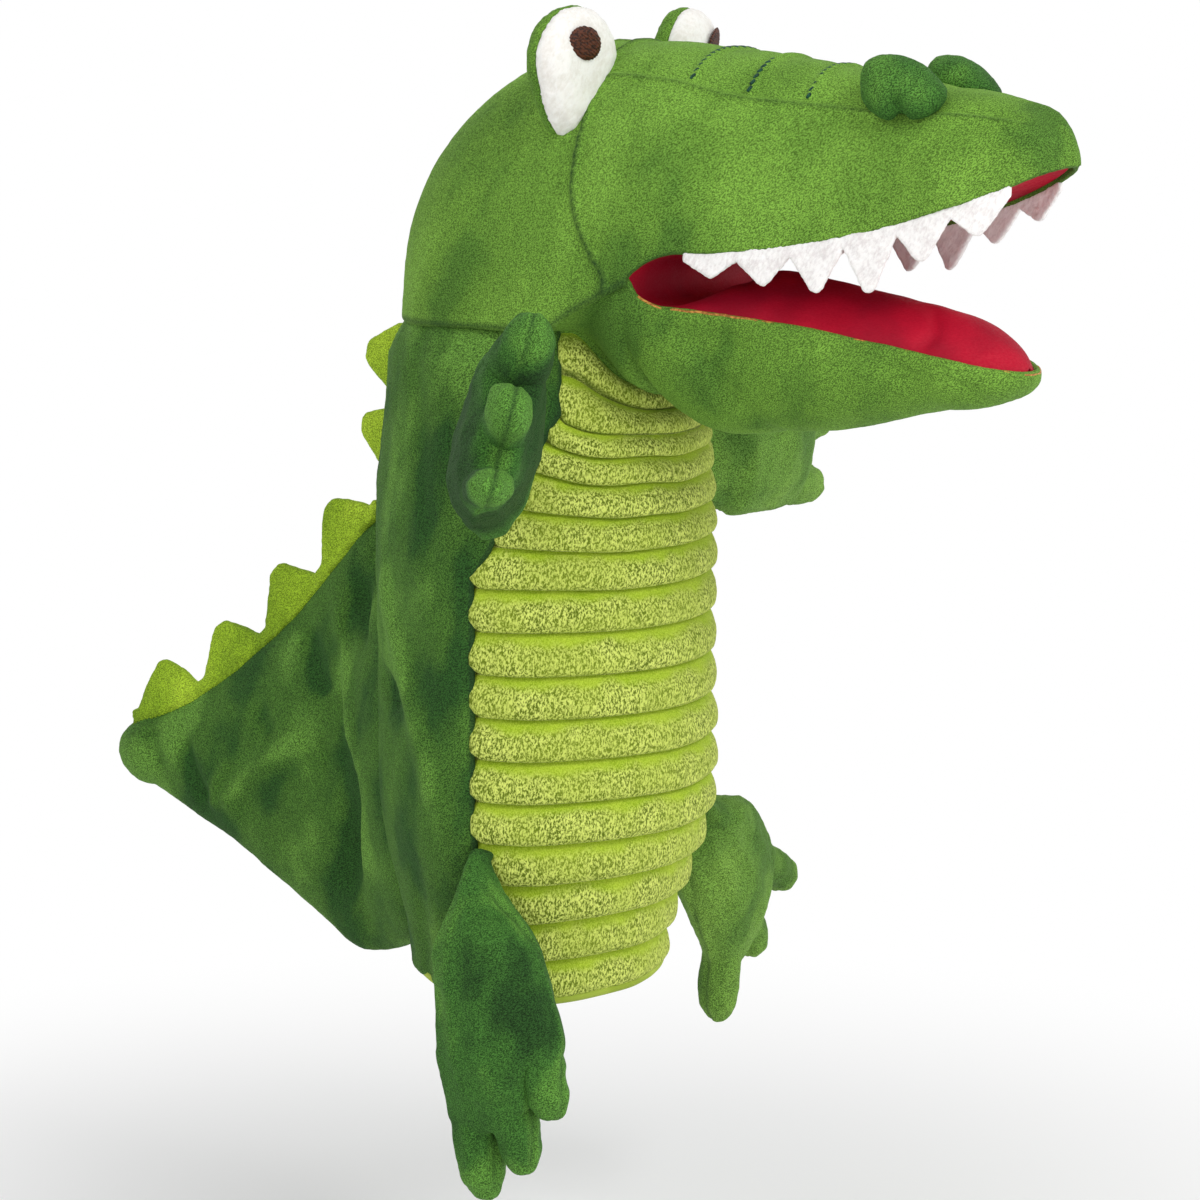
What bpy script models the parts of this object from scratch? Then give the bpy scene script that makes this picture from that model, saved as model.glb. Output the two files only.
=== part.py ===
"""Crocodile hand puppet with a moving mouth.

A plush glove: a ribbed, padded belly and two green back panels make a sleeve that
is open at the hem.  A soft neck carries a lined head whose mouth opens on a fold,
with a pocket for the fingers above the mouth and one for the thumb below it.
Stuffed arms, legs and a crested tail hang from the sleeve's seams.

Row frame: the origin is the centre of the hem opening, +Z is up, the puppet
faces -Y and its left side is +X.  All sizes are in metres.
"""
import math

import bmesh
import bpy
from mathutils import Matrix, Vector

MM = 0.001

# ---- fits
FIT_GAP = 0.3 * MM            # between two pieces that are sewn or rest together

# ---- fabrics
PLUSH = 2.6 * MM              # green plush, with its backing
VELOUR = 2.4 * MM             # ribbed velour of the belly
LINING = 1.2 * MM             # smooth lining cloth
FELT = 1.6 * MM               # felt of the teeth
BOARD = 1.5 * MM              # stiff board in each half of the mouth

# ---- sleeve, measured from its axis
SLEEVE_HALF_WIDTH = 58 * MM
SLEEVE_FRONT = 53 * MM
SLEEVE_BACK = 59 * MM
HEM_HALF_WIDTH = 47 * MM
HEM_FRONT = 34.5 * MM
HEM_BACK = 48 * MM
HEM_SWELL = 68 * MM           # height at which the sleeve reaches its full width
HEM_BAND_HEIGHT = 4 * MM
COLLAR_HALF_WIDTH = 51 * MM
COLLAR_FRONT = 48 * MM
COLLAR_BACK = 54 * MM
COLLAR_TAPER = 40 * MM        # length over which the sleeve narrows to the collar
COLLAR_FRONT_Z = 182 * MM     # top edge of the sleeve at the belly
COLLAR_BACK_Z = 203 * MM      # top edge of the sleeve at the spine
RIDGE_POWER = 1.7             # under 2 pinches the back into a ridge
THROAT_START = 8 * MM         # ahead of this the neck's edges dip under the chin
RIB_LEVEL_SHARE = 0.6         # ribs above this share of the belly sag with the throat
RIB_COUNT = 15
RIB_DEPTH = 3.4 * MM
BELLY_HEM_ANGLE = math.radians(80)     # side seam, turned from the front
BELLY_COLLAR_ANGLE = math.radians(42)
BATTING_ANGLE = math.radians(36)
LINING_SIDE_INSET = 7 * MM
LINING_FRONT_INSET = 10.6 * MM
LINING_BACK_INSET = 5.4 * MM

# ---- neck and head
NOD_Z = 200 * MM              # height of the cross axis on which the head nods
NAPE_BACK = 46 * MM           # head behind the neck axis
NAPE_Z = 229 * MM
NECK_SEAM_BACK_Z = 215 * MM   # top of the neck band at the nape
NECK_SEAM_FRONT_Z = 197 * MM  # top of the neck band under the chin
NECK_HALF_WIDTH = 46 * MM
NECK_FRONT = 44 * MM
HEAD_HALF_WIDTH = 47 * MM
CROWN_Z = 302 * MM
CROWN_AHEAD = 38 * MM
HEAD_SEAM_AHEAD = 37 * MM     # seam between the skull panels and the snout panels
NOSE_AHEAD = 145 * MM         # where the snout starts to round off
NOSE_HALF_WIDTH = 24.5 * MM   # what the taper runs down to
TAPER_START = 20 * MM
TAPER_REACH = 1.15            # the taper runs on under the rounded nose, as a share of its place
NOSE_TOP_Z = 288 * MM
SNOUT_TIP_AHEAD = 183 * MM
SNOUT_TIP_Z = 266 * MM
CROWN_SLOPE_POWER = 1.4       # over 1 keeps the crown level before it slopes to the nose
SKULL_POWER = 2.0
SNOUT_POWER = 2.5
TOP_SEAM_ANGLE = math.radians(58)

# ---- mouth
HINGE_AHEAD = 57 * MM
HINGE_Z = 230 * MM
FOLD_RADIUS = 1.6 * MM
LIP_Z = 240 * MM              # upper lip behind the first tooth
LIP_STRAIGHT_AHEAD = 74 * MM
LOWER_LIP_Z = 221.5 * MM
LOWER_LIP_POWER = 1.3         # how evenly the lower lip falls to the tip
LOWER_LIP_AHEAD = 70 * MM
JAW_INSET = 5.0 * MM          # the lower jaw closes inside the teeth
JAW_NOSE_AHEAD = 145 * MM
JAW_TIP_AHEAD = 172 * MM
JAW_TIP_Z = 204.5 * MM
CHIN_Z = 181 * MM
CHIN_RISE = 12.5 * MM         # rise of the chin from the throat to the nose
CHIN_LOW_AHEAD = 82 * MM      # behind this the chin rises to the throat
THROAT_Z = 200 * MM
JAW_POWER = 2.4
JAW_OPEN = math.radians(12)
CHEEK_EDGE = math.radians(25)          # head's edge at the cheek, from the vertical
CHEEK_CLEARANCE = math.radians(2)

# ---- pockets
FINGER_POCKET_HALF_WIDTH = 31 * MM
FINGER_POCKET_END_HALF_WIDTH = 15 * MM
FINGER_POCKET_HEIGHT = 25 * MM
FINGER_POCKET_END_HEIGHT = 14 * MM
FINGER_POCKET_START = 61 * MM
FINGER_POCKET_AHEAD = 142 * MM
FINGER_SPACE_START = 30 * MM  # the way into the finger pocket, from the palm's hollow
THUMB_POCKET_HALF_WIDTH = 22 * MM
THUMB_POCKET_END_HALF_WIDTH = 12 * MM
THUMB_POCKET_HEIGHT = 24 * MM
THUMB_POCKET_END_HEIGHT = 12 * MM
THUMB_POCKET_START = 60 * MM
THUMB_POCKET_AHEAD = 132 * MM
THUMB_SPACE_START = 32 * MM
PALM_HALF_WIDTH = 37 * MM     # hollow in the head for the knuckles
PALM_HALF_LENGTH = 38 * MM
PALM_HEIGHT = 26 * MM
PALM_REACH = 77 * MM          # how far ahead the hollow runs, over the fingers
PALM_FLOOR_LIFT = 8 * MM      # underside of the skull's filling, above the jaw's hinge

# ---- teeth
TEETH_START = 75 * MM
TEETH_END = 171 * MM
TOOTH_HEIGHTS = (8 * MM, 11 * MM, 15 * MM, 18 * MM, 13 * MM, 11 * MM)
TEETH_BAND = 3 * MM
TOOTH_BLUNTING = 1 * MM

# ---- nostrils
NOSTRIL_AHEAD = 137 * MM
NOSTRIL_ASIDE = 19 * MM
NOSTRIL_Z = 287 * MM
NOSTRIL_SIZE = (9 * MM, 14 * MM, 10 * MM)
NOSTRIL_TILT = math.radians(8)
NOSTRIL_LEAN = math.radians(20)
NOSTRIL_TOE_IN = math.radians(12)

# ---- eyes
EYE_HALF_WIDTH = 16 * MM
EYE_HEIGHT = 40 * MM
EYE_PINCH = 0.32              # narrows an eye towards its point
EYE_ASIDE = 32 * MM
EYE_AHEAD = 28 * MM
EYE_FOOT_Z = 272 * MM
EYE_TURN = math.radians(10)
EYE_LEAN = math.radians(6)
EYE_BACK_THICKNESS = 6 * MM
EYE_FRONT_THICKNESS = 8 * MM
PUPIL_HALF_WIDTH = 5.2 * MM
PUPIL_HALF_HEIGHT = 6.2 * MM
PUPIL_THICKNESS = 1.2 * MM
PUPIL_RISE = 5 * MM
PUPIL_INWARD = 0.5 * MM

# ---- crest
CREST_THICKNESS = 5 * MM
CREST_BAND = 4 * MM
CREST_LEAD = 12 * MM          # how far the tail's crest runs on up the gusset
SPIKE_HEIGHT = 12.5 * MM
SPIKE_BASE = 29 * MM
SPIKE_TOP = 8 * MM
SPIKE_LEAN = 2.5 * MM         # a spike's top is set this far up the ridge
TAIL_SPIKE_START = 18 * MM    # middle of the first spike, from the crest's upper end
TAIL_SPIKE_PITCH = 34.5 * MM
BACK_SPIKE_START = 13 * MM
BACK_SPIKE_PITCH = 25 * MM
BACK_CREST_Z = 159 * MM
BACK_CREST_TOP_Z = 210 * MM    # it laps over the neck band
TAIL_SPIKES = 4
BACK_SPIKES = 2

# ---- tail
TAIL_ROOT = 74 * MM           # behind the sleeve's axis
TAIL_LENGTH = 108 * MM
TAIL_ROOT_TOP = 140 * MM
TAIL_ROOT_BOTTOM = -5 * MM
TAIL_ROOT_HALF_WIDTH = 17 * MM
TAIL_TIP_TOP = 66 * MM
TAIL_TIP_BOTTOM = 43 * MM
TAIL_TIP_HALF_WIDTH = 7 * MM
TAIL_POWER = 1.7              # under 2 pinches the tail along its ridge
TAIL_DROP_POWER = 1.7         # over 1 makes the ridge fall steeply at first
TAIL_RISE_POWER = 0.75        # under 1 makes the underside rise steeply at first
TAIL_LEVEL_SHARE = 0.06       # the underside is level up to this share of the tail
TAIL_ROUND_SHARE = 0.85       # the tip rounds off beyond this share of the tail
TAIL_GUSSET_SPREAD = 1.6      # the gusset's width at the sleeve, in widths of the tail's root
TAIL_GUSSET_RISE = 13 * MM    # the gusset's top runs on up to the sleeve, in line with the ridge
TAIL_TURN_BACK = 67 * MM      # upright axis on which the tail swings

# ---- limbs
LIMB_ROOT_RADIUS = 3 * MM     # rounded, flattened end that is sewn into the seam
SQUARE_ROOT_SHARE = 0.12      # share of a limb over which it turns from the seam's direction
ARM_LENGTH = 84 * MM
ARM_ROOT_HALF_WIDTH = 13 * MM
ARM_PALM_HALF_WIDTH = 28 * MM
ARM_HALF_THICKNESS = 13 * MM
ARM_Z = 163 * MM
ARM_SEAM_ANGLE = math.radians(69)
LEG_LENGTH = 102 * MM
LEG_ROOT_HALF_WIDTH = 9 * MM
LEG_PALM_HALF_WIDTH = 23 * MM
LEG_HALF_THICKNESS = 12.5 * MM
LEG_Z = 52 * MM
LEG_SEAM_ANGLE = math.radians(76)
TOE_RADIUS = 7 * MM
TOE_LENGTH = 19 * MM
FINGER_SPREAD = math.radians(14)
RIGHT_TOE_SPREAD = math.radians(3)
LEFT_TOE_SPREAD = math.radians(27)
RIGHT_FOOT_SLANT = math.radians(33)    # the toes at the front of a foot are set back
LEFT_FOOT_SLANT = math.radians(20)
ARM_STAND_OFF = 0.7           # how squarely a limb leaves the sleeve, from 0 to 1
LEG_STAND_OFF = 0.4

RIGHT_ARM_AIM = Vector((-0.74, -0.60, 0.36))
LEFT_ARM_AIM = Vector((0.95, -0.06, 0.11))
ARM_ACROSS = Vector((0.14, -0.22, 0.96))
RIGHT_LEG_AIM = Vector((-0.06, -0.19, -0.98))
RIGHT_LEG_ACROSS = Vector((0.05, -1.0, 0.0))
LEFT_LEG_AIM = Vector((0.70, 0.09, -0.70))
LEFT_LEG_ACROSS = Vector((0.70, -0.10, 0.70))

# ---- fineness of the curved surfaces
SLEEVE_COLUMNS = 24

PIVOT_SIZE = 10 * MM          # how large the joints' empties are drawn


# ------------------------------------------------------------------ scene

for leftover in list(bpy.data.objects):
    bpy.data.objects.remove(leftover, do_unlink=True)

puppet = bpy.data.collections.new("crocodile_hand_puppet")
bpy.context.scene.collection.children.link(puppet)
guides = bpy.data.collections.new("guides")
bpy.context.scene.collection.children.link(guides)


def fabric(name, colour, roughness=0.95):
    """A matt material in one colour."""
    material = bpy.data.materials.new(name)
    material.use_nodes = True
    shader = material.node_tree.nodes["Principled BSDF"]
    shader.inputs["Base Color"].default_value = (*colour, 1.0)
    shader.inputs["Roughness"].default_value = roughness
    shader.inputs["Metallic"].default_value = 0.0
    material.diffuse_color = (*colour, 1.0)
    return material


GREEN_PLUSH = fabric("green_plush", (0.075, 0.22, 0.035))
DEEP_GREEN_PLUSH = fabric("deep_green_plush", (0.03, 0.14, 0.03))
LIME_VELOUR = fabric("lime_velour", (0.32, 0.46, 0.05))
LIME_PLUSH = fabric("lime_plush", (0.25, 0.45, 0.02))
RED_LINING = fabric("red_lining", (0.5, 0.0, 0.025), 0.7)
LIME_LINING = fabric("lime_lining", (0.36, 0.45, 0.06), 0.8)
WHITE_FELT = fabric("white_felt", (0.83, 0.8, 0.78))
WHITE_PLUSH = fabric("white_plush", (0.82, 0.8, 0.76))
BROWN_THREAD = fabric("brown_thread", (0.06, 0.02, 0.012), 0.6)
POLY_FILLING = fabric("poly_filling", (0.85, 0.85, 0.85), 1.0)
MOUTH_BOARD = fabric("mouth_board", (0.75, 0.75, 0.72), 0.6)


# ------------------------------------------------------------------ modelling helpers

def add_object(name, mesh, material, collection=puppet):
    """Put a mesh in the scene as one named piece."""
    piece = bpy.data.objects.new(name, mesh)
    collection.objects.link(piece)
    if material:
        mesh.materials.append(material)
    return piece


def soften(mesh, angle=math.radians(50)):
    mesh.shade_smooth()
    mesh.set_sharp_from_angle(angle=angle)


def make_guide(piece):
    """Hide a cutter from the finished model."""
    piece.hide_render = True
    piece.display_type = 'WIRE'
    return piece


def sheet(name, rows, material, thickness, outward):
    """An open surface through rows of points, thickened inwards."""
    mesh = bpy.data.meshes.new(name)
    count = len(rows[0])
    points = [point for row in rows for point in row]
    faces = [
        (i * count + j, i * count + j + 1, (i + 1) * count + j + 1, (i + 1) * count + j)
        for i in range(len(rows) - 1) for j in range(count - 1)
    ]
    mesh.from_pydata(points, [], faces)
    if not outward:
        mesh.flip_normals()
    soften(mesh)
    piece = add_object(name, mesh, material)
    shell = piece.modifiers.new("thickness", 'SOLIDIFY')
    shell.thickness = thickness
    shell.offset = -1.0
    return piece


def loft(name, rings, material, collection=puppet, joined_ends=False):
    """A closed solid through rings of points, capped at both ends."""
    mesh = bpy.data.meshes.new(name)
    count = len(rings[0])
    points = [point for ring in rings for point in ring]
    spans = len(rings) if joined_ends else len(rings) - 1
    faces = []
    for i in range(spans):
        base = i * count
        after = ((i + 1) % len(rings)) * count
        for j in range(count):
            k = (j + 1) % count
            faces.append((base + j, base + k, after + k, after + j))
    if not joined_ends:
        faces.append(tuple(range(count)))
        faces.append(tuple(range(len(points) - count, len(points))))
    mesh.from_pydata(points, [], faces)
    body = bmesh.new()
    body.from_mesh(mesh)
    bmesh.ops.recalc_face_normals(body, faces=body.faces[:])
    body.to_mesh(mesh)
    body.free()
    soften(mesh)
    return add_object(name, mesh, material, collection)


def double_sheet(name, outer_rows, inner_rows, material):
    """A thick sheet between two surfaces whose edges stay over one another."""
    rings = [outer + inner[::-1] for outer, inner in zip(outer_rows, inner_rows)]
    return loft(name, rings, material)


def add_pivot(name, place):
    """An empty on the axis of a joint."""
    pivot = bpy.data.objects.new(name, None)
    pivot.empty_display_size = PIVOT_SIZE
    pivot.location = place
    puppet.objects.link(pivot)
    return pivot


def hang(pivot, pieces):
    """Make pieces turn with a pivot, staying where they were made."""
    bpy.context.view_layer.update()
    for piece in pieces:
        piece.parent = pivot
        piece.matrix_parent_inverse = pivot.matrix_world.inverted()


def named(*starts):
    return [piece for piece in puppet.objects if piece.name.startswith(starts)]


def combine(piece, other, operation):
    """Cut a piece with another, or join the two."""
    change = piece.modifiers.new(operation.lower(), 'BOOLEAN')
    change.operation = operation
    change.solver = 'EXACT'
    change.object = other
    return piece


def mix(a, b, t):
    return a + (b - a) * t


def ease(t):
    t = min(max(t, 0.0), 1.0)
    return t * t * (3.0 - 2.0 * t)


def steps(start, end, count):
    return [mix(start, end, i / count) for i in range(count + 1)]


def rounded_end(t):
    """Height of a quarter ellipse at the share t of its length."""
    return math.sqrt(max(0.0, 1.0 - t * t))


def bulge(value, power):
    """Signed power that turns a circle into a superellipse."""
    return math.copysign(abs(value) ** (2.0 / power), value)


# ------------------------------------------------------------------ sleeve form

def throat(y, back_z, front_z, front):
    """Height of an edge round the neck, level behind and dipping under the chin."""
    return mix(back_z, front_z, ease((-y - THROAT_START) / (front - THROAT_START)))


def collar_z(y):
    """Top edge of the sleeve."""
    return throat(y, COLLAR_BACK_Z, COLLAR_FRONT_Z, COLLAR_FRONT)


def sleeve_size(z):
    """Half width, front depth and back depth of the sleeve at a height."""
    swell = ease(z / HEM_SWELL)
    narrow = ease((z - (COLLAR_FRONT_Z - COLLAR_TAPER)) / (2.0 * COLLAR_TAPER))
    sizes = []
    for hem, full, collar in ((HEM_HALF_WIDTH, SLEEVE_HALF_WIDTH, COLLAR_HALF_WIDTH),
                              (HEM_FRONT, SLEEVE_FRONT, COLLAR_FRONT),
                              (HEM_BACK, SLEEVE_BACK, COLLAR_BACK)):
        sizes.append(mix(mix(hem, full, swell), collar, narrow))
    return sizes


def sleeve_point(angle, z, inset=(0.0, 0.0, 0.0)):
    """Point on the sleeve; the angle turns from the front towards the left side."""
    half_width, front, back = (s - i for s, i in zip(sleeve_size(z), inset))
    if math.cos(angle) > 0.0:
        return Vector((half_width * math.sin(angle), -front * math.cos(angle), z))
    return Vector((half_width * bulge(math.sin(angle), RIDGE_POWER),
                   -back * bulge(math.cos(angle), RIDGE_POWER), z))


def sleeve_row(angles, share, low, inset=(0.0, 0.0, 0.0), depth=0.0):
    """Points at one share of the way from the hem to the sloping collar."""
    row = []
    for angle in angles:
        dip = COLLAR_BACK_Z - collar_z(sleeve_point(angle, COLLAR_FRONT_Z, inset).y)
        sag = max(0.0, (share - RIB_LEVEL_SHARE) / (1.0 - RIB_LEVEL_SHARE)) ** 2
        z = mix(low, COLLAR_BACK_Z, share) - dip * sag
        row.append(sleeve_point(angle, z, [i + depth for i in inset]))
    return row


def side_seam(share):
    """Angle of the seam between belly and back."""
    swing = max(0.0, share - RIB_LEVEL_SHARE) / (1.0 - RIB_LEVEL_SHARE)
    return mix(BELLY_HEM_ANGLE, BELLY_COLLAR_ANGLE, swing)


def make_belly():
    """Ribbed front panel: a velour channel for each roll of padding."""
    low = HEM_BAND_HEIGHT + FIT_GAP
    points_per_rib = 3
    outer = []
    inner = []
    for i in range(RIB_COUNT * points_per_rib + 1):
        share = i / (RIB_COUNT * points_per_rib)
        valley = RIB_DEPTH if i % points_per_rib == 0 else 0.0
        edge = side_seam(share) - FIT_GAP / SLEEVE_HALF_WIDTH
        angles = steps(-edge, edge, 9)
        outer.append(sleeve_row(angles, share, low, depth=valley))
        inner.append(sleeve_row(angles, share, low, depth=valley + VELOUR))
    return double_sheet("belly_panel", outer, inner, LIME_VELOUR)


def make_batting():
    """Soft sheet between the ribs and the lining."""
    outer = (RIB_DEPTH + VELOUR + 4.0 * FIT_GAP,) * 3
    inner = (LINING_SIDE_INSET - 4.0 * FIT_GAP, LINING_FRONT_INSET - 4.0 * FIT_GAP, LINING_BACK_INSET)
    low = HEM_BAND_HEIGHT + FIT_GAP
    angles = steps(-BATTING_ANGLE, BATTING_ANGLE, 8)
    rings = []
    for share in steps(0.02, 0.97, 6):
        front = sleeve_row(angles, share, low, outer)
        rear = sleeve_row(angles, share, low, inner)
        rings.append(front + rear[::-1])
    return loft("belly_batting", rings, POLY_FILLING)


def make_back_panel(name, side):
    """Green panel from a side seam to the ridge of the back."""
    low = HEM_BAND_HEIGHT + FIT_GAP
    spine = math.pi - 2.0 * FIT_GAP / SLEEVE_BACK
    outer = []
    inner = []
    for share in steps(0.0, RIB_LEVEL_SHARE, 4) + steps(RIB_LEVEL_SHARE, 1.0, 6)[1:]:
        edge = side_seam(share) + FIT_GAP / SLEEVE_HALF_WIDTH
        angles = [side * angle for angle in steps(edge, spine, 7)]
        outer.append(sleeve_row(angles, share, low))
        inner.append(sleeve_row(angles, share, low, depth=PLUSH))
    return double_sheet(name, outer, inner, GREEN_PLUSH)


def make_lining():
    """Lining of the hand hole, from the hem to the collar."""
    inset = (LINING_SIDE_INSET, LINING_FRONT_INSET, LINING_BACK_INSET)
    angles = [2.0 * math.pi * i / SLEEVE_COLUMNS for i in range(SLEEVE_COLUMNS)]
    low = HEM_BAND_HEIGHT + FIT_GAP
    shares = steps(0.0, 1.0, 6)
    outside = [sleeve_row(angles, share, low, inset) for share in shares]
    inside = [sleeve_row(angles, share, low, inset, LINING) for share in reversed(shares)]
    return loft("hand_lining", outside + inside, LIME_LINING, joined_ends=True)


def make_hem_band():
    """Bound edge round the hand hole."""
    inset = [i + LINING for i in (LINING_SIDE_INSET, LINING_FRONT_INSET, LINING_BACK_INSET)]
    angles = [2.0 * math.pi * i / SLEEVE_COLUMNS for i in range(SLEEVE_COLUMNS)]
    rings = [
        [sleeve_point(angle, 0.0) for angle in angles],
        [sleeve_point(angle, HEM_BAND_HEIGHT) for angle in angles],
        [sleeve_point(angle, HEM_BAND_HEIGHT, inset) for angle in angles],
        [sleeve_point(angle, 0.0, inset) for angle in angles],
    ]
    return loft("hem_band", rings, LIME_LINING, joined_ends=True)


# ------------------------------------------------------------------ neck

def neck_seam_z(y):
    """Top of the neck band, where the head is sewn on."""
    return throat(y, NECK_SEAM_BACK_Z, NECK_SEAM_FRONT_Z, NECK_FRONT)


def neck_seam_point(angle, inset):
    depth = NECK_FRONT if math.cos(angle) > 0.0 else NAPE_BACK - FIT_GAP
    x = (NECK_HALF_WIDTH - inset) * math.sin(angle)
    y = -(depth - inset) * math.cos(angle)
    return Vector((x, y, neck_seam_z(y)))


def make_neck_band():
    """Soft band between the collar and the head."""
    angles = [2.0 * math.pi * i / SLEEVE_COLUMNS for i in range(SLEEVE_COLUMNS)]
    lift = Vector((0.0, 0.0, 2.0 * FIT_GAP))

    def ring(share, inset):
        collar = sleeve_row(angles, 1.0, 0.0, depth=inset)
        return [(low + lift).lerp(neck_seam_point(angle, inset), share)
                for low, angle in zip(collar, angles)]

    shares = steps(0.0, 1.0, 2)
    outside = [ring(share, 0.0) for share in shares]
    inside = [ring(share, PLUSH) for share in reversed(shares)]
    return loft("neck_band", outside + inside, GREEN_PLUSH, joined_ends=True)


# ------------------------------------------------------------------ head form

def head_half_width(ahead):
    """Half width of the head, a dome behind and a taper ahead."""
    if ahead < 0.0:
        return HEAD_HALF_WIDTH * rounded_end(ahead / NAPE_BACK)
    taper = ease((ahead - TAPER_START) / (TAPER_REACH * NOSE_AHEAD - TAPER_START))
    width = mix(HEAD_HALF_WIDTH, NOSE_HALF_WIDTH, taper)
    if ahead > NOSE_AHEAD:
        width *= rounded_end((ahead - NOSE_AHEAD) / (SNOUT_TIP_AHEAD - NOSE_AHEAD))
    return width


def head_top_z(ahead):
    """Height of the head along its middle."""
    if ahead < CROWN_AHEAD:
        share = (CROWN_AHEAD - ahead) / (CROWN_AHEAD + NAPE_BACK)
        return mix(NAPE_Z, CROWN_Z, rounded_end(share))
    if ahead < NOSE_AHEAD:
        share = (ahead - CROWN_AHEAD) / (NOSE_AHEAD - CROWN_AHEAD)
        return mix(CROWN_Z, NOSE_TOP_Z, share ** CROWN_SLOPE_POWER)
    share = (ahead - NOSE_AHEAD) / (SNOUT_TIP_AHEAD - NOSE_AHEAD)
    return mix(SNOUT_TIP_Z, NOSE_TOP_Z, rounded_end(share))


def upper_lip_z(ahead):
    """Lip of the upper jaw, rounded at the mouth's corner and rising to the tip."""
    rise = (SNOUT_TIP_Z - LIP_Z) * ((ahead - LIP_STRAIGHT_AHEAD)
                                    / (SNOUT_TIP_AHEAD - LIP_STRAIGHT_AHEAD)) ** 2
    corner = (LIP_STRAIGHT_AHEAD - ahead) / (LIP_STRAIGHT_AHEAD - HINGE_AHEAD)
    drop = (LIP_Z - HINGE_Z - FOLD_RADIUS) * max(corner, 0.0) ** 2
    return LIP_Z + rise - drop


def head_base_z(ahead):
    """Lower edge of the head: neck seam, then cheek, then upper lip."""
    seam = neck_seam_z(-ahead) + FIT_GAP
    cheek = HINGE_Z - (HINGE_AHEAD - ahead) / math.tan(CHEEK_EDGE)
    if ahead < HINGE_AHEAD:
        return max(seam, cheek)
    return upper_lip_z(ahead)


def head_point(ahead, turn, inset=0.0):
    """Point on the head; the turn runs from the left edge over the top to the right."""
    power = head_power(ahead)
    width = head_half_width(ahead)
    width -= min(inset, 0.45 * width)
    base = head_base_z(ahead)
    top = head_top_z(ahead) - inset
    x = width * bulge(math.cos(turn), power)
    z = base + (top - base) * bulge(math.sin(turn), power)
    return Vector((x, -ahead, z))


def inner_ahead(ahead, inset):
    """Where the inner face of a section lies, under the rounded nape and nose."""
    if ahead < 0.0:
        return ahead * (NAPE_BACK - inset) / NAPE_BACK
    if ahead > NOSE_AHEAD:
        nose = SNOUT_TIP_AHEAD - NOSE_AHEAD
        return NOSE_AHEAD + (ahead - NOSE_AHEAD) * (nose - inset) / nose
    return ahead


def head_row(ahead, turns, side, inset):
    """Row of a head panel on one side; the inner face keeps its edges under the outer's."""
    row = []
    for turn in turns:
        point = head_point(ahead, turn, inset)
        row.append(Vector((side * point.x, -inner_ahead(ahead, inset), point.z)))
    return row


def head_panel(name, stations, turns_at, side=1):
    """Panel of the head between two seams."""
    outer = [head_row(ahead, turns_at(ahead), side, 0.0) for ahead in stations]
    inner = [head_row(ahead, turns_at(ahead), side, PLUSH) for ahead in stations]
    return double_sheet(name, outer, inner, GREEN_PLUSH)


SKULL_STATIONS = [-NAPE_BACK * share for share in (0.999, 0.95, 0.82, 0.58, 0.3)]
SKULL_STATIONS += steps(0.0, HEAD_SEAM_AHEAD, 3)
SNOUT_STATIONS = steps(HEAD_SEAM_AHEAD + FIT_GAP, HINGE_AHEAD, 3)
SNOUT_STATIONS += steps(HINGE_AHEAD, NOSE_AHEAD, 6)[1:]
NOSE_STATIONS = [mix(NOSE_AHEAD, SNOUT_TIP_AHEAD, share) for share in (0.35, 0.65, 0.87, 0.97, 0.998)]
SNOUT_STATIONS += NOSE_STATIONS


def make_skull_panel(name, side):
    """Half of the back of the head, from the neck seam up to the middle."""
    def turns(ahead):
        return steps(0.0, math.acos(FIT_GAP / head_half_width(ahead)), 6)
    return head_panel(name, SKULL_STATIONS, turns, side)


def make_snout_side(name, side):
    """Side of the snout, from the lip up to the top panel's seam."""
    return head_panel(name, SNOUT_STATIONS, lambda ahead: steps(0.0, TOP_SEAM_ANGLE, 4), side)


def make_snout_top():
    """Top of the snout, between the two side panels."""
    def turns(ahead):
        seam = TOP_SEAM_ANGLE + 1.5 * FIT_GAP / max(head_half_width(ahead), 8 * MM)
        return steps(seam, math.pi - seam, 6)
    return head_panel("snout_top_panel", SNOUT_STATIONS, turns)


def head_power(ahead):
    return mix(SKULL_POWER, SNOUT_POWER, ease(ahead / LIP_STRAIGHT_AHEAD))


def head_arch(ahead, inset, floor, count, sag=0.0):
    """Ring of the head's form above a floor that rises by the sag in its middle."""
    base = head_base_z(ahead)
    share = (floor - base) / (head_top_z(ahead) - inset - base)
    start = math.asin(min(1.0, max(0.0, share)) ** (head_power(ahead) / 2.0))
    ring = [head_point(ahead, turn, inset) for turn in steps(start, math.pi - start, count)]
    half_width = ring[0].x
    for across in (-0.5, 0.0, 0.5):
        ring.append(Vector((across * half_width, 0.0, floor + sag * (1.0 - across * across))))
    for point in ring:
        point.y = -inner_ahead(ahead, max(inset, 0.0))
    return ring


def make_head_cutter():
    """Head form grown by the fit gap, which trims the eyes and nostrils."""
    stations = steps(-0.9 * NAPE_BACK, 0.97 * SNOUT_TIP_AHEAD, 26)
    rings = [head_arch(ahead, -2.5 * FIT_GAP, head_base_z(ahead), 16) for ahead in stations]
    return make_guide(loft("head_form", rings, None, guides))


# ------------------------------------------------------------------ mouth, upper half

def flat_row(ahead, half_width, z, sag=0.0, count=4):
    """Points across the mouth, sagging in the middle."""
    row = []
    for across in steps(-1.0, 1.0, count):
        row.append(Vector((across * half_width, -ahead, z + sag * (1.0 - across * across))))
    return row


def plate(name, rows, material, thickness, upward):
    """A thin sheet whose thickness grows up or down from its rows."""
    lift = Vector((0.0, 0.0, thickness if upward else -thickness))
    rings = [row + [point + lift for point in reversed(row)] for row in rows]
    return loft(name, rings, material)


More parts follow.
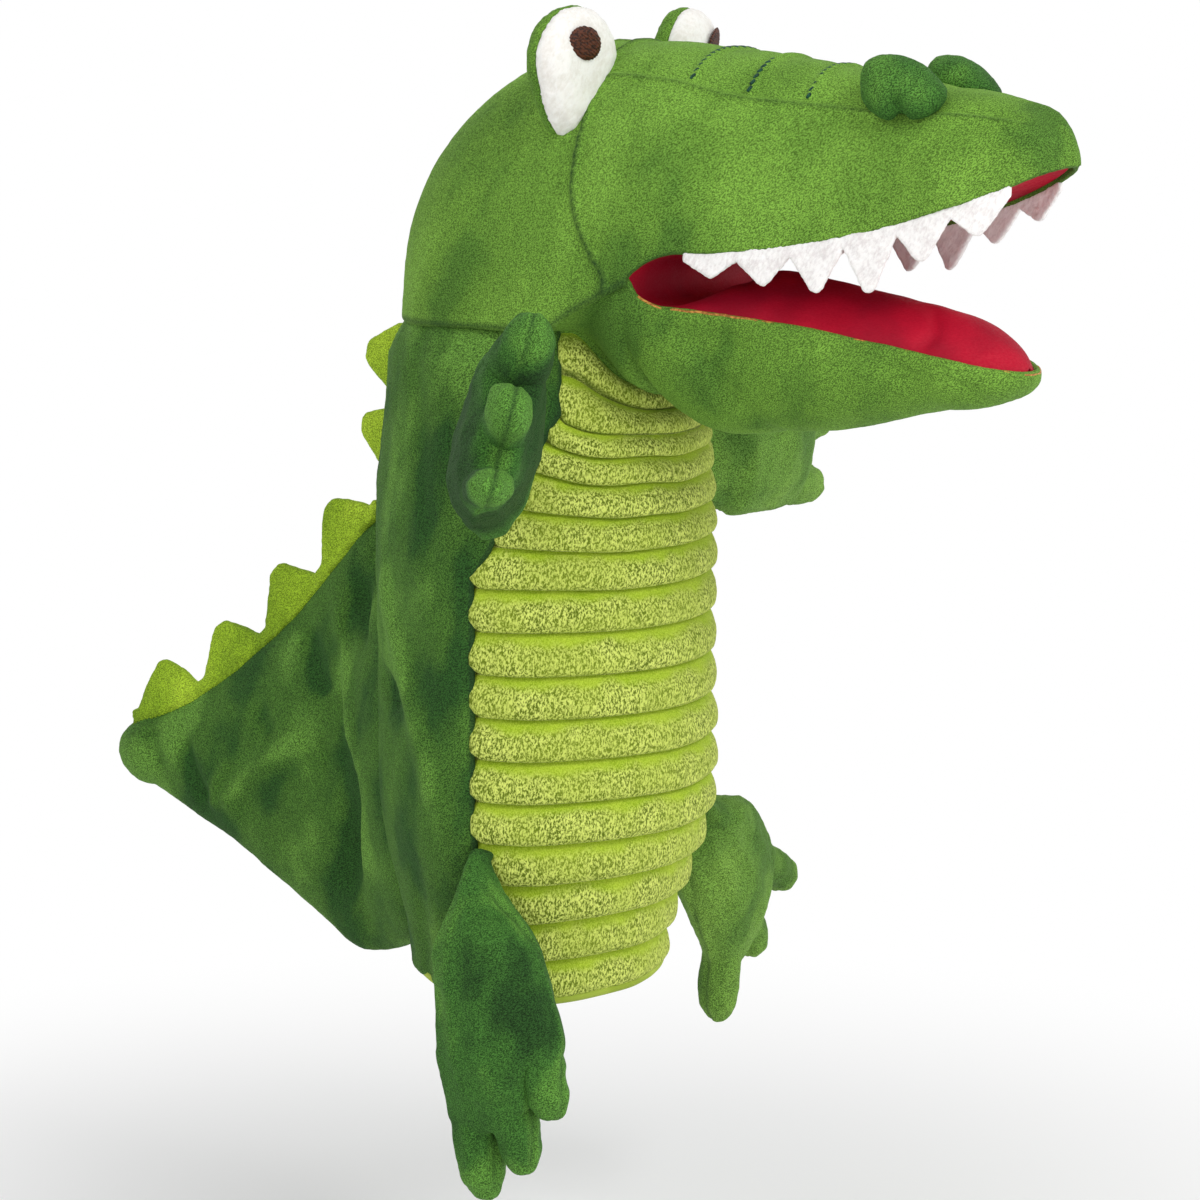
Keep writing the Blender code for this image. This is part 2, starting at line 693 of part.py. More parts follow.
MOUTH_STATIONS = [HINGE_AHEAD + 5 * MM, HINGE_AHEAD + 9 * MM]
MOUTH_STATIONS += steps(LIP_STRAIGHT_AHEAD, NOSE_AHEAD, 3)
PALATE_ARCH = 2 * MM
LOWER_PALATE_ARCH = 8 * MM    # the floor of the mouth is puffed up
PUFF_AHEAD = 88 * MM          # behind this the puff dies away to the fold
INNER_MARGIN = PLUSH + 3.0 * FIT_GAP


def palate_sag(ahead):
    """Arch of the mouth's linings, which die away at the fold."""
    return PALATE_ARCH * ease((ahead - HINGE_AHEAD) / (LIP_STRAIGHT_AHEAD - HINGE_AHEAD))


def upper_palate_row(ahead, lift):
    half_width = head_half_width(ahead) - INNER_MARGIN
    place = inner_ahead(ahead, INNER_MARGIN)
    return flat_row(place, half_width, upper_lip_z(ahead) + lift, palate_sag(ahead))


def make_upper_palate():
    """Red lining of the roof of the mouth."""
    stations = [HINGE_AHEAD] + MOUTH_STATIONS + NOSE_STATIONS[:3]
    rows = [upper_palate_row(ahead, FIT_GAP) for ahead in stations]
    return plate("upper_palate", rows, RED_LINING, LINING, True)


BOARD_LIFT = LINING + 3.0 * FIT_GAP
ROOF_LIFT = BOARD_LIFT + BOARD + 2.0 * FIT_GAP      # underside of what lies on the upper board


def make_upper_board():
    """Stiff board above the roof of the mouth."""
    rows = [upper_palate_row(ahead, BOARD_LIFT) for ahead in MOUTH_STATIONS + NOSE_STATIONS[:1]]
    return plate("upper_mouth_board", rows, MOUTH_BOARD, BOARD, True)


def tube_section(ahead, half_width, floor, height, inset, count=12):
    """Ring of a flattened pocket standing on its floor."""
    ring = []
    middle = floor + height / 2.0
    for i in range(count):
        turn = 2.0 * math.pi * i / count
        ring.append(Vector(((half_width - inset) * bulge(math.cos(turn), 2.6), -ahead,
                            middle + (height / 2.0 - inset) * bulge(math.sin(turn), 2.6))))
    return ring


def pocket_rings(start, end, widths, heights, floor, inset):
    """Rings of a pocket from its mouth to its rounded tip."""
    rings = []
    for share in (0.0, 0.3, 0.6, 0.85, 0.96):
        ahead = mix(start, end - inset, share)
        close = 1.0 if share < 0.7 else rounded_end((share - 0.7) / 0.3)
        half_width = mix(*widths, share) * close
        height = mix(*heights, share) * mix(1.0, close, 0.6)
        rings.append(tube_section(ahead, half_width, floor(ahead), height, inset))
    return rings


def make_pocket(name, rings_at):
    """Glove finger: a cup that is open behind and closed at its tip."""
    return loft(name, rings_at(0.0)[::-1] + rings_at(LINING), LIME_LINING)


def finger_floor(ahead):
    return upper_lip_z(max(ahead, LIP_STRAIGHT_AHEAD)) + ROOF_LIFT + PALATE_ARCH + FIT_GAP


def finger_rings(inset):
    return pocket_rings(FINGER_POCKET_START, FINGER_POCKET_AHEAD,
                        (FINGER_POCKET_HALF_WIDTH, FINGER_POCKET_END_HALF_WIDTH),
                        (FINGER_POCKET_HEIGHT, FINGER_POCKET_END_HEIGHT), finger_floor, inset)


def swollen(rings, name, start_ahead):
    """Solid of a pocket with the fit gap round it, and a straight way out behind."""
    first = [point.copy() for point in rings[0]]
    for point in first:
        point.y = -start_ahead
    return make_guide(loft(name, [first] + rings, None, guides))


def make_finger_space():
    """Finger pocket with its fit gap, opening into the palm's hollow."""
    return swollen(finger_rings(-2.0 * FIT_GAP), "finger_space", FINGER_SPACE_START)


def make_snout_filling(finger_space):
    """Filling between the snout's panels, the upper board and the finger pocket."""
    stations = MOUTH_STATIONS + NOSE_STATIONS[:3]
    rings = [head_arch(ahead, INNER_MARGIN, upper_lip_z(ahead) + ROOF_LIFT, 10, palate_sag(ahead))
             for ahead in stations]
    filling = loft("snout_filling", rings, POLY_FILLING)
    return combine(filling, finger_space, 'DIFFERENCE')


def make_skull_filling(finger_space):
    """Filling of the head above the palm hollow."""
    stations = [-NAPE_BACK * share for share in (0.8, 0.6, 0.3)] + steps(0.0, FINGER_POCKET_START, 4)
    floor = HINGE_Z + PALM_FLOOR_LIFT
    rings = [head_arch(ahead, INNER_MARGIN, floor, 10) for ahead in stations]
    filling = loft("skull_filling", rings, POLY_FILLING)
    bpy.ops.mesh.primitive_uv_sphere_add(segments=14, ring_count=8, radius=1.0)
    hollow = bpy.context.object
    hollow.name = "palm_space"
    for vertex in hollow.data.vertices:
        vertex.co.x *= PALM_HALF_WIDTH
        vertex.co.y *= PALM_HALF_LENGTH
        vertex.co.z *= PALM_HEIGHT
        if vertex.co.y < 0.0:
            vertex.co.y *= PALM_REACH / PALM_HALF_LENGTH
    hollow.location = (0.0, 0.0, floor)
    for collection in list(hollow.users_collection):
        collection.objects.unlink(hollow)
    guides.objects.link(make_guide(hollow))
    combine(filling, hollow, 'DIFFERENCE')
    return combine(filling, finger_space, 'DIFFERENCE')


def teeth_edge(ahead, height):
    """Point under the upper lip, where the felt strip hangs."""
    aside = head_half_width(ahead) - FIT_GAP
    return Vector((aside, -ahead, upper_lip_z(ahead) - FIT_GAP - height))


def make_teeth(name, side):
    """Felt strip with a row of points, sewn under the lip."""
    pitch = (TEETH_END - TEETH_START) / len(TOOTH_HEIGHTS)
    outline = []
    for i, height in enumerate(TOOTH_HEIGHTS):
        start = TEETH_START + pitch * i
        for share, drop in ((0.0, TEETH_BAND), (0.4, height - TOOTH_BLUNTING), (0.5, height),
                            (0.6, height - TOOTH_BLUNTING)):
            outline.append((start + pitch * share, drop))
    outline.append((TEETH_END, TEETH_BAND))
    rings = []
    for ahead, drop in outline:
        ring = []
        for inset in (0.0, FELT):
            for height in (0.0, drop):
                point = teeth_edge(ahead, height)
                ring.append(Vector((side * (point.x - inset), point.y, point.z)))
        rings.append([ring[0], ring[1], ring[3], ring[2]])
    return loft(name, rings, WHITE_FELT)


def make_nostril(name, side, head_form):
    """Stuffed puff astride the top seam."""
    bpy.ops.mesh.primitive_uv_sphere_add(segments=14, ring_count=8, radius=1.0)
    puff = bpy.context.object
    puff.name = name
    puff.data.name = name
    for vertex in puff.data.vertices:
        vertex.co = Vector([co * size for co, size in zip(vertex.co, NOSTRIL_SIZE)])
    puff.data.materials.append(DEEP_GREEN_PLUSH)
    soften(puff.data)
    puff.location = (side * NOSTRIL_ASIDE, -NOSTRIL_AHEAD, NOSTRIL_Z)
    puff.rotation_euler = (NOSTRIL_TILT, -side * NOSTRIL_LEAN, -side * NOSTRIL_TOE_IN)
    for collection in list(puff.users_collection):
        collection.objects.unlink(puff)
    puppet.objects.link(puff)
    return combine(puff, head_form, 'DIFFERENCE')


# ------------------------------------------------------------------ eyes

def teardrop(count=18):
    """Outline of an eye in its own plane, standing on its point."""
    outline = []
    radius = EYE_HALF_WIDTH
    for i in range(count):
        turn = 2.0 * math.pi * i / count
        x = radius * math.sin(turn)
        z = EYE_HEIGHT - radius + radius * math.cos(turn)
        if math.cos(turn) < 0.0:
            share = -math.cos(turn)
            z = mix(EYE_HEIGHT - radius, 0.0, share)
            x = radius * math.sin(turn) * (1.0 - EYE_PINCH * share)
        outline.append((x, z))
    return outline


def eye_place(side):
    """Frame of an eye: its point on the head, facing ahead and a little outwards."""
    place = Matrix.Translation((side * EYE_ASIDE, -EYE_AHEAD, EYE_FOOT_Z))
    return place @ Matrix.Rotation(side * EYE_TURN, 4, 'Z') @ Matrix.Rotation(EYE_LEAN, 4, 'X')


def eye_pad(name, side, layers, outline, centre, material):
    """A pad made of scaled copies of its outline, from back to front."""
    rings = []
    for scale, forward in layers:
        rings.append([Vector((centre[0] + (x - centre[0]) * scale, -forward, centre[1] + (z - centre[1]) * scale))
                      for x, z in outline])
    pad = loft(name, rings, material)
    pad.matrix_world = eye_place(side)
    return pad


def make_eye(side, label, head_form):
    """Green back, padded white front and an embroidered pupil."""
    outline = teardrop()
    centre = (0.0, EYE_HEIGHT - EYE_HALF_WIDTH)
    back = [(0.72, -EYE_BACK_THICKNESS), (0.93, -0.7 * EYE_BACK_THICKNESS), (1.0, -0.3 * EYE_BACK_THICKNESS),
            (1.0, 0.0)]
    front = [(1.0, FIT_GAP), (0.99, 0.35 * EYE_FRONT_THICKNESS), (0.86, 0.75 * EYE_FRONT_THICKNESS),
             (0.6, EYE_FRONT_THICKNESS)]
    pads = [eye_pad("eye_back_" + label, side, back, outline, centre, GREEN_PLUSH),
            eye_pad("eye_front_" + label, side, front, outline, centre, WHITE_PLUSH)]
    for pad in pads:
        combine(pad, head_form, 'DIFFERENCE')
    middle = (-side * PUPIL_INWARD, centre[1] + PUPIL_RISE)
    oval = []
    for i in range(16):
        turn = 2.0 * math.pi * i / 16
        oval.append((middle[0] + PUPIL_HALF_WIDTH * math.cos(turn), middle[1] + PUPIL_HALF_HEIGHT * math.sin(turn)))
    base = EYE_FRONT_THICKNESS + FIT_GAP
    layers = [(1.0, base), (1.0, base + 0.5 * PUPIL_THICKNESS), (0.7, base + PUPIL_THICKNESS)]
    eye_pad("pupil_" + label, side, layers, oval, middle, BROWN_THREAD)


# ------------------------------------------------------------------ lower jaw

def jaw_half_width(ahead):
    width = head_half_width(min(ahead, JAW_NOSE_AHEAD)) - JAW_INSET
    if ahead > JAW_NOSE_AHEAD:
        width *= rounded_end((ahead - JAW_NOSE_AHEAD) / (JAW_TIP_AHEAD - JAW_NOSE_AHEAD))
    return width


def lower_lip_z(ahead):
    corner = (LOWER_LIP_AHEAD - ahead) / (LOWER_LIP_AHEAD - HINGE_AHEAD)
    if corner > 0.0:
        return LOWER_LIP_Z + (HINGE_Z - FOLD_RADIUS - LOWER_LIP_Z) * corner ** 2
    share = (ahead - LOWER_LIP_AHEAD) / (JAW_TIP_AHEAD - LOWER_LIP_AHEAD)
    return LOWER_LIP_Z - (LOWER_LIP_Z - JAW_TIP_Z) * share ** LOWER_LIP_POWER


def chin_z(ahead):
    rise = CHIN_RISE * ((ahead - HINGE_AHEAD) / (JAW_NOSE_AHEAD - HINGE_AHEAD)) ** 2
    low = CHIN_Z + rise
    if ahead < CHIN_LOW_AHEAD:
        low += (THROAT_Z - CHIN_Z) * ((CHIN_LOW_AHEAD - ahead) / (CHIN_LOW_AHEAD - HINGE_AHEAD)) ** 2
    if ahead > JAW_NOSE_AHEAD:
        share = rounded_end((ahead - JAW_NOSE_AHEAD) / (JAW_TIP_AHEAD - JAW_NOSE_AHEAD))
        low = mix(JAW_TIP_Z, CHIN_Z + CHIN_RISE, share)
    return low


JAW_REAR = CHEEK_EDGE - JAW_OPEN - CHEEK_CLEARANCE
JAW_STATIONS = [HINGE_AHEAD + 1 * MM, HINGE_AHEAD + 6 * MM, LOWER_LIP_AHEAD]
JAW_STATIONS += steps(LOWER_LIP_AHEAD, PUFF_AHEAD, 3)[1:]
JAW_STATIONS += steps(PUFF_AHEAD, JAW_NOSE_AHEAD, 3)[1:]
JAW_NOSE_STATIONS = [mix(JAW_NOSE_AHEAD, JAW_TIP_AHEAD, share) for share in (0.35, 0.65, 0.85, 0.96)]


def jaw_lean(point, ahead):
    """Slope the jaw's rear end, so that it opens without meeting the cheek."""
    reach = ease(1.0 - (ahead - HINGE_AHEAD) / (JAW_NOSE_AHEAD - HINGE_AHEAD) * 1.6)
    point.y -= (point.z - HINGE_Z) * math.tan(JAW_REAR) * reach
    return point


def jaw_point(ahead, turn, inset=0.0, lid=0.0):
    """Point on the lower jaw; the turn runs from the left lip under the chin."""
    lip = lower_lip_z(ahead) - lid
    x = (jaw_half_width(ahead) - inset) * bulge(math.cos(turn), JAW_POWER)
    z = lip + (chin_z(ahead) + inset - lip) * bulge(math.sin(turn), JAW_POWER)
    return jaw_lean(Vector((x, -ahead, z)), ahead)


def lower_palate_rise(ahead):
    return LOWER_PALATE_ARCH * ease((ahead - HINGE_AHEAD) / (PUFF_AHEAD - HINGE_AHEAD))


def jaw_inner_ahead(ahead, inset):
    if ahead < JAW_NOSE_AHEAD:
        return ahead
    nose = JAW_TIP_AHEAD - JAW_NOSE_AHEAD
    return JAW_NOSE_AHEAD + (ahead - JAW_NOSE_AHEAD) * (nose - inset) / nose


def jaw_row(ahead, turns, inset):
    inset = min(inset, 0.3 * jaw_half_width(ahead), 0.4 * (lower_lip_z(ahead) - chin_z(ahead)))
    shift = jaw_inner_ahead(ahead, inset) - ahead
    return [jaw_point(ahead, turn, inset) - Vector((0.0, shift, 0.0)) for turn in turns]


def make_chin_panel():
    """Green panel under the lower jaw, from lip to lip."""
    turns = steps(0.0, math.pi, 12)
    outer = [jaw_row(ahead, turns, 0.0) for ahead in JAW_STATIONS + JAW_NOSE_STATIONS]
    inner = [jaw_row(ahead, turns, PLUSH) for ahead in JAW_STATIONS + JAW_NOSE_STATIONS]
    return double_sheet("chin_panel", outer, inner, GREEN_PLUSH)


def jaw_trough(ahead, ceiling, count):
    """Ring of the jaw's inside under a ceiling that sags in its middle."""
    lip = lower_lip_z(ahead)
    share = (lip - ceiling) / (lip - chin_z(ahead) - INNER_MARGIN)
    start = math.asin(min(1.0, max(0.0, share)) ** (JAW_POWER / 2.0))
    ring = [jaw_point(ahead, turn, INNER_MARGIN) for turn in steps(start, math.pi - start, count)]
    half_width = ring[0].x
    for across in (-0.5, 0.0, 0.5):
        z = ceiling + lower_palate_rise(ahead) * (1.0 - across * across)
        ring.append(jaw_lean(Vector((across * half_width, -ahead, z)), ahead))
    shift = jaw_inner_ahead(ahead, INNER_MARGIN) - ahead
    return [point - Vector((0.0, shift, 0.0)) for point in ring]


def lower_palate_row(ahead, drop):
    half_width = jaw_half_width(ahead) - INNER_MARGIN
    row = flat_row(ahead, half_width, lower_lip_z(ahead) - drop, lower_palate_rise(ahead), 8)
    shift = jaw_inner_ahead(ahead, INNER_MARGIN) - ahead
    return [jaw_lean(point, ahead) - Vector((0.0, shift, 0.0)) for point in row]


def make_lower_palate():
    """Red lining of the floor of the mouth."""
    stations = [HINGE_AHEAD] + JAW_STATIONS[1:] + JAW_NOSE_STATIONS[:3]
    rows = [lower_palate_row(ahead, FIT_GAP) for ahead in stations]
    return plate("lower_palate", rows, RED_LINING, LINING, False)


def make_lower_board():
    """Stiff board under the floor of the mouth."""
    rows = [lower_palate_row(ahead, BOARD_LIFT) for ahead in JAW_STATIONS[1:] + JAW_NOSE_STATIONS[:1]]
    return plate("lower_mouth_board", rows, MOUTH_BOARD, BOARD, False)


def thumb_floor(ahead):
    """Underside of the thumb pocket, a pocket's height below the lower board."""
    share = (ahead - HINGE_AHEAD) / (THUMB_POCKET_AHEAD - HINGE_AHEAD)
    height = mix(THUMB_POCKET_HEIGHT, THUMB_POCKET_END_HEIGHT, share)
    return lower_lip_z(max(ahead, LOWER_LIP_AHEAD)) - ROOF_LIFT - FIT_GAP - height


def thumb_rings(inset):
    return pocket_rings(THUMB_POCKET_START, THUMB_POCKET_AHEAD,
                        (THUMB_POCKET_HALF_WIDTH, THUMB_POCKET_END_HALF_WIDTH),
                        (THUMB_POCKET_HEIGHT, THUMB_POCKET_END_HEIGHT), thumb_floor, inset)


def make_chin_filling():
    """Filling between the chin panel, the lower board and the thumb pocket."""
    rings = [jaw_trough(ahead, lower_lip_z(ahead) - ROOF_LIFT, 10) for ahead in JAW_STATIONS[1:]]
    filling = loft("chin_filling", rings, POLY_FILLING)
    hollow = swollen(thumb_rings(-2.0 * FIT_GAP), "thumb_space", THUMB_SPACE_START)
    return combine(filling, hollow, 'DIFFERENCE')


def make_mouth_fold():
    """Sewn fold of the mouth lining, on which the jaw turns."""
    length = 2.0 * (jaw_half_width(HINGE_AHEAD) - INNER_MARGIN)
    bpy.ops.mesh.primitive_cylinder_add(vertices=12, radius=FOLD_RADIUS, depth=length)
    fold = bpy.context.object
    fold.name = "mouth_fold"
    fold.data.name = "mouth_fold"
    fold.data.materials.append(RED_LINING)
    soften(fold.data)
    fold.location = (0.0, -HINGE_AHEAD, HINGE_Z)
    fold.rotation_euler = (0.0, math.radians(90), 0.0)
    for collection in list(fold.users_collection):
        collection.objects.unlink(fold)
    puppet.objects.link(fold)
    return fold


def make_cheek(name, side):
    """Loose fabric of the cheek, between the head's edge and the jaw."""
    rows = []
    for share in steps(0.12, 0.97, 5):
        turn = share * math.pi / 2.0
        jaw = jaw_point(JAW_STATIONS[0], turn)
        jaw.y += 2.0 * FIT_GAP
        low = neck_seam_z(-NECK_FRONT) + 2.0 * FIT_GAP
        z = mix(HINGE_Z, low, share)
        ahead = HINGE_AHEAD - (HINGE_Z - z) * math.tan(CHEEK_EDGE)
        head = Vector((head_half_width(ahead), -ahead - 2.0 * FIT_GAP, z))
        rows.append([jaw.lerp(head, step) for step in (0.0, 0.4, 0.7)])
    for row in rows:
        for point in row:
            point.x *= side
    return sheet(name, rows, GREEN_PLUSH, PLUSH, side < 0)


# ------------------------------------------------------------------ tail

def tail_size(share):
    """Top, bottom and half width of the tail along its length."""
    top = mix(TAIL_ROOT_TOP, TAIL_TIP_TOP, 1.0 - (1.0 - share) ** TAIL_DROP_POWER)
    rise = (share - TAIL_LEVEL_SHARE) / (TAIL_ROUND_SHARE - TAIL_LEVEL_SHARE)
    bottom = mix(TAIL_ROOT_BOTTOM, TAIL_TIP_BOTTOM, min(max(rise, 0.0), 1.0) ** TAIL_RISE_POWER)
    half_width = mix(TAIL_ROOT_HALF_WIDTH, TAIL_TIP_HALF_WIDTH, share)
    if share > TAIL_ROUND_SHARE:
        close = rounded_end((share - TAIL_ROUND_SHARE) / (1.0 - TAIL_ROUND_SHARE))
        middle = (top + bottom) / 2.0
        top = mix(middle, top, close)
        bottom = mix(middle, bottom, close)
        half_width *= max(close, 0.35)
    return top, bottom, half_width


def tail_point(share, turn, inset=0.0):
    """Point on the tail; the turn runs from the ridge down the left side."""
    top, bottom, half_width = tail_size(share)
    middle = (top + bottom) / 2.0
    x = (half_width - inset) * math.sin(turn)
    z = middle + (top - middle - 1.4 * inset) * bulge(math.cos(turn), TAIL_POWER)
    return Vector((x, TAIL_ROOT + TAIL_LENGTH * share, z))


TAIL_SHARES = (0.0, 0.12, 0.28, 0.45, 0.62, 0.78, 0.88, 0.95, 0.985)


def make_tail_panel(name, side):
    """Side of the tail, from the ridge to the seam underneath."""
    margin = 2.0 * FIT_GAP / TAIL_TIP_HALF_WIDTH
    outer = []
    inner = []
    for share in TAIL_SHARES:
        turns = [side * turn for turn in steps(margin, math.pi - margin, 6)]
        outer.append([tail_point(share, turn) for turn in turns])
        inner.append([tail_point(share, turn, min(PLUSH, 0.6 * tail_size(share)[2])) for turn in turns])
    return double_sheet(name, outer, inner, GREEN_PLUSH)


def make_tail_filling():
    rings = []
    for share in TAIL_SHARES[:-2]:
        turns = [2.0 * math.pi * i / 12 for i in range(12)]
        rings.append([tail_point(share, turn, PLUSH + 3.0 * FIT_GAP) for turn in turns])
    return loft("tail_filling", rings, POLY_FILLING)


def sleeve_back_y(x, z):
    """Depth of the sleeve's back at a point across it."""
    half_width, _, back = sleeve_size(z)
    return back * (1.0 - (abs(x) / half_width) ** RIDGE_POWER) ** (1.0 / RIDGE_POWER)


def make_tail_gusset():
    """Gathered fabric between the sleeve's back and the tail."""
    top, bottom, half_width = tail_size(0.0)
    middle = (top + bottom) / 2.0
    rings = []
    for across in (-0.97, -0.75, -0.4, 0.0, 0.4, 0.75, 0.97):
        reach = (top - middle) * bulge(math.sqrt(1.0 - across * across), TAIL_POWER)
        heights = steps(middle - reach, middle + reach, 6)
        wide = across * half_width * TAIL_GUSSET_SPREAD
        raised = [z + TAIL_GUSSET_RISE * (z - bottom) / (top - bottom) for z in heights]
        front = [Vector((wide, sleeve_back_y(wide, z) + 5.0 * FIT_GAP, z)) for z in raised]
        rear = [Vector((across * half_width, TAIL_ROOT - 2.0 * FIT_GAP, z)) for z in heights]
        rings.append(front + rear[::-1])
    return loft("tail_gusset", rings, GREEN_PLUSH)


# ------------------------------------------------------------------ crest

def along(path, distance):
    """Point and direction at a distance along a path."""
    for start, end in zip(path, path[1:]):
        length = (end - start).length
        if distance <= length or end is path[-1]:
            return start.lerp(end, distance / length), (end - start).normalized()
        distance -= length
    return path[-1], (path[-1] - path[-2]).normalized()


def path_length(path):
    return sum((b - a).length for a, b in zip(path, path[1:]))


def make_crest(name, path, first, pitch, count):
    """Lime strip on a ridge, cut into rounded points."""
    length = path_length(path)
    heights = {0.0: CREST_BAND, length: CREST_BAND}
    for i in range(count):
        middle = first + pitch * i
        heights[max(0.0, middle - 0.5 * SPIKE_BASE)] = CREST_BAND
        for share, height in ((-0.5, 0.9), (-0.3, 1.0), (0.3, 1.0), (0.5, 0.9)):
            heights[middle - SPIKE_LEAN + share * SPIKE_TOP] = CREST_BAND + height * SPIKE_HEIGHT
        heights[middle + 0.5 * SPIKE_BASE] = CREST_BAND
    rings = []
    for distance in sorted(heights):
        base, direction = along(path, distance)
        outward = Vector((0.0, direction.z, -direction.y))
        if outward.y < 0.0:
            outward = -outward
        ring = []
        for level, half in ((FIT_GAP, 0.5), (0.45, 0.5), (1.0, 0.26), (1.0, -0.26), (0.45, -0.5), (FIT_GAP, -0.5)):
            rise = heights[distance] * level if level > FIT_GAP else 2.0 * FIT_GAP
            point = base + outward * rise
            ring.append(Vector((half * CREST_THICKNESS, point.y, point.z)))
        rings.append(ring)
    return loft(name, rings, LIME_PLUSH)


def back_ridge():
    """Ridge of the sleeve's back above the tail."""
    heights = steps(BACK_CREST_Z, BACK_CREST_TOP_Z, 5)
    return [sleeve_point(math.pi, z) for z in reversed(heights)]


def tail_ridge():
    """Ridge of the tail, led on up the gusset towards the sleeve."""
    ridge = [tail_point(share, 0.0) for share in steps(0.0, 0.93, 10)]
    lead = (ridge[0] - ridge[1]).normalized() * CREST_LEAD
    return [ridge[0] + lead] + ridge


# ------------------------------------------------------------------ limbs

def seam_place(angle, z, side):
    """Seam point, direction out of the sleeve, and directions up and round the sleeve."""
    angle *= side
    point = sleeve_point(angle, z)
    up = (sleeve_point(angle, z + MM) - sleeve_point(angle, z - MM)).normalized()
    round_sleeve = (sleeve_point(angle + 0.01 * side, z) - sleeve_point(angle - 0.01 * side, z)).normalized()
    outward = up.cross(round_sleeve).normalized()
    if outward.dot(Vector((point.x, point.y, 0.0))) < 0.0:
        outward = -outward
    return point, outward, up, -round_sleeve


def make_limb(name, seam, root_across, aim, across, sizes, material):
    """Stuffed flipper with three stubby toes, on a flat rounded end at the seam."""
    length, root_half, palm_half, half_thickness, slant, toe_spread, stand_off = sizes
    point, outward = seam[:2]
    root = point + outward * (LIMB_ROOT_RADIUS + 1.5 * FIT_GAP)
    aim = aim.normalized()
    across = (across - aim * across.dot(aim)).normalized()
    palm = length - TOE_LENGTH
    bend = root + aim.lerp(outward, stand_off).normalized() * palm * 0.3
    end = root + aim * palm

    def frame(share):
        """Place and directions of the flipper at a share of its length."""
        place = root.lerp(bend, share).lerp(bend.lerp(end, share), share)
        ahead = (bend - root).lerp(end - bend, share).normalized()
        ahead = outward.lerp(ahead, min(1.0, share / SQUARE_ROOT_SHARE)).normalized()
        side = root_across.lerp(across, ease(share * 1.3))
        side = (side - ahead * side.dot(ahead)).normalized()
        return place, ahead, side, ahead.cross(side)

    def section(share, half_width, thickness, back=0.0):
        place, ahead, side, through = frame(share)
        set_back = math.tan(slant) * share
        ring = []
        for i in range(12):
            turn = 2.0 * math.pi * i / 12
            aside = half_width * math.cos(turn)
            ring.append(place - ahead * (back + aside * set_back) + side * aside
                        + through * thickness * math.sin(turn))
        return ring

    rings = [section(0.0, root_half * 0.93, LIMB_ROOT_RADIUS * 0.45, LIMB_ROOT_RADIUS),
             section(0.0, root_half, LIMB_ROOT_RADIUS),
             section(SQUARE_ROOT_SHARE, root_half * 1.12, LIMB_ROOT_RADIUS * 1.5),
             section(0.4, mix(root_half, palm_half, 0.6), half_thickness * 0.85),
             section(0.72, palm_half * 0.95, half_thickness),
             section(0.9, palm_half, half_thickness * 0.82),
             section(1.0, palm_half * 0.9, half_thickness * 0.5)]
    limb = loft(name, rings, material)
    place, ahead, side, through = frame(1.0)
    for i in (-1, 0, 1):
        spread = i * toe_spread
        aside = i * (palm_half - TOE_RADIUS)
        start = place - ahead * (0.14 * palm + aside * math.tan(slant)) + side * aside * 0.92
        toe_ahead = ahead * math.cos(spread) + side * math.sin(spread)
        sideways = toe_ahead.cross(through)
        toe_rings = []
        for share, size in ((0.0, 0.9), (0.4, 1.0), (0.8, 0.92), (1.0, 0.45)):
            middle = start + toe_ahead * (TOE_LENGTH + 0.14 * palm) * share
            turns = [2.0 * math.pi * j / 8 for j in range(8)]
            toe_rings.append([middle + (sideways * math.cos(t) + through * math.sin(t)) * TOE_RADIUS * size
                              for t in turns])
        toe = make_guide(loft(f"{name}_toe_{i + 2}", toe_rings, None, guides))
        combine(limb, toe, 'UNION')
    return limb


# ------------------------------------------------------------------ assembly

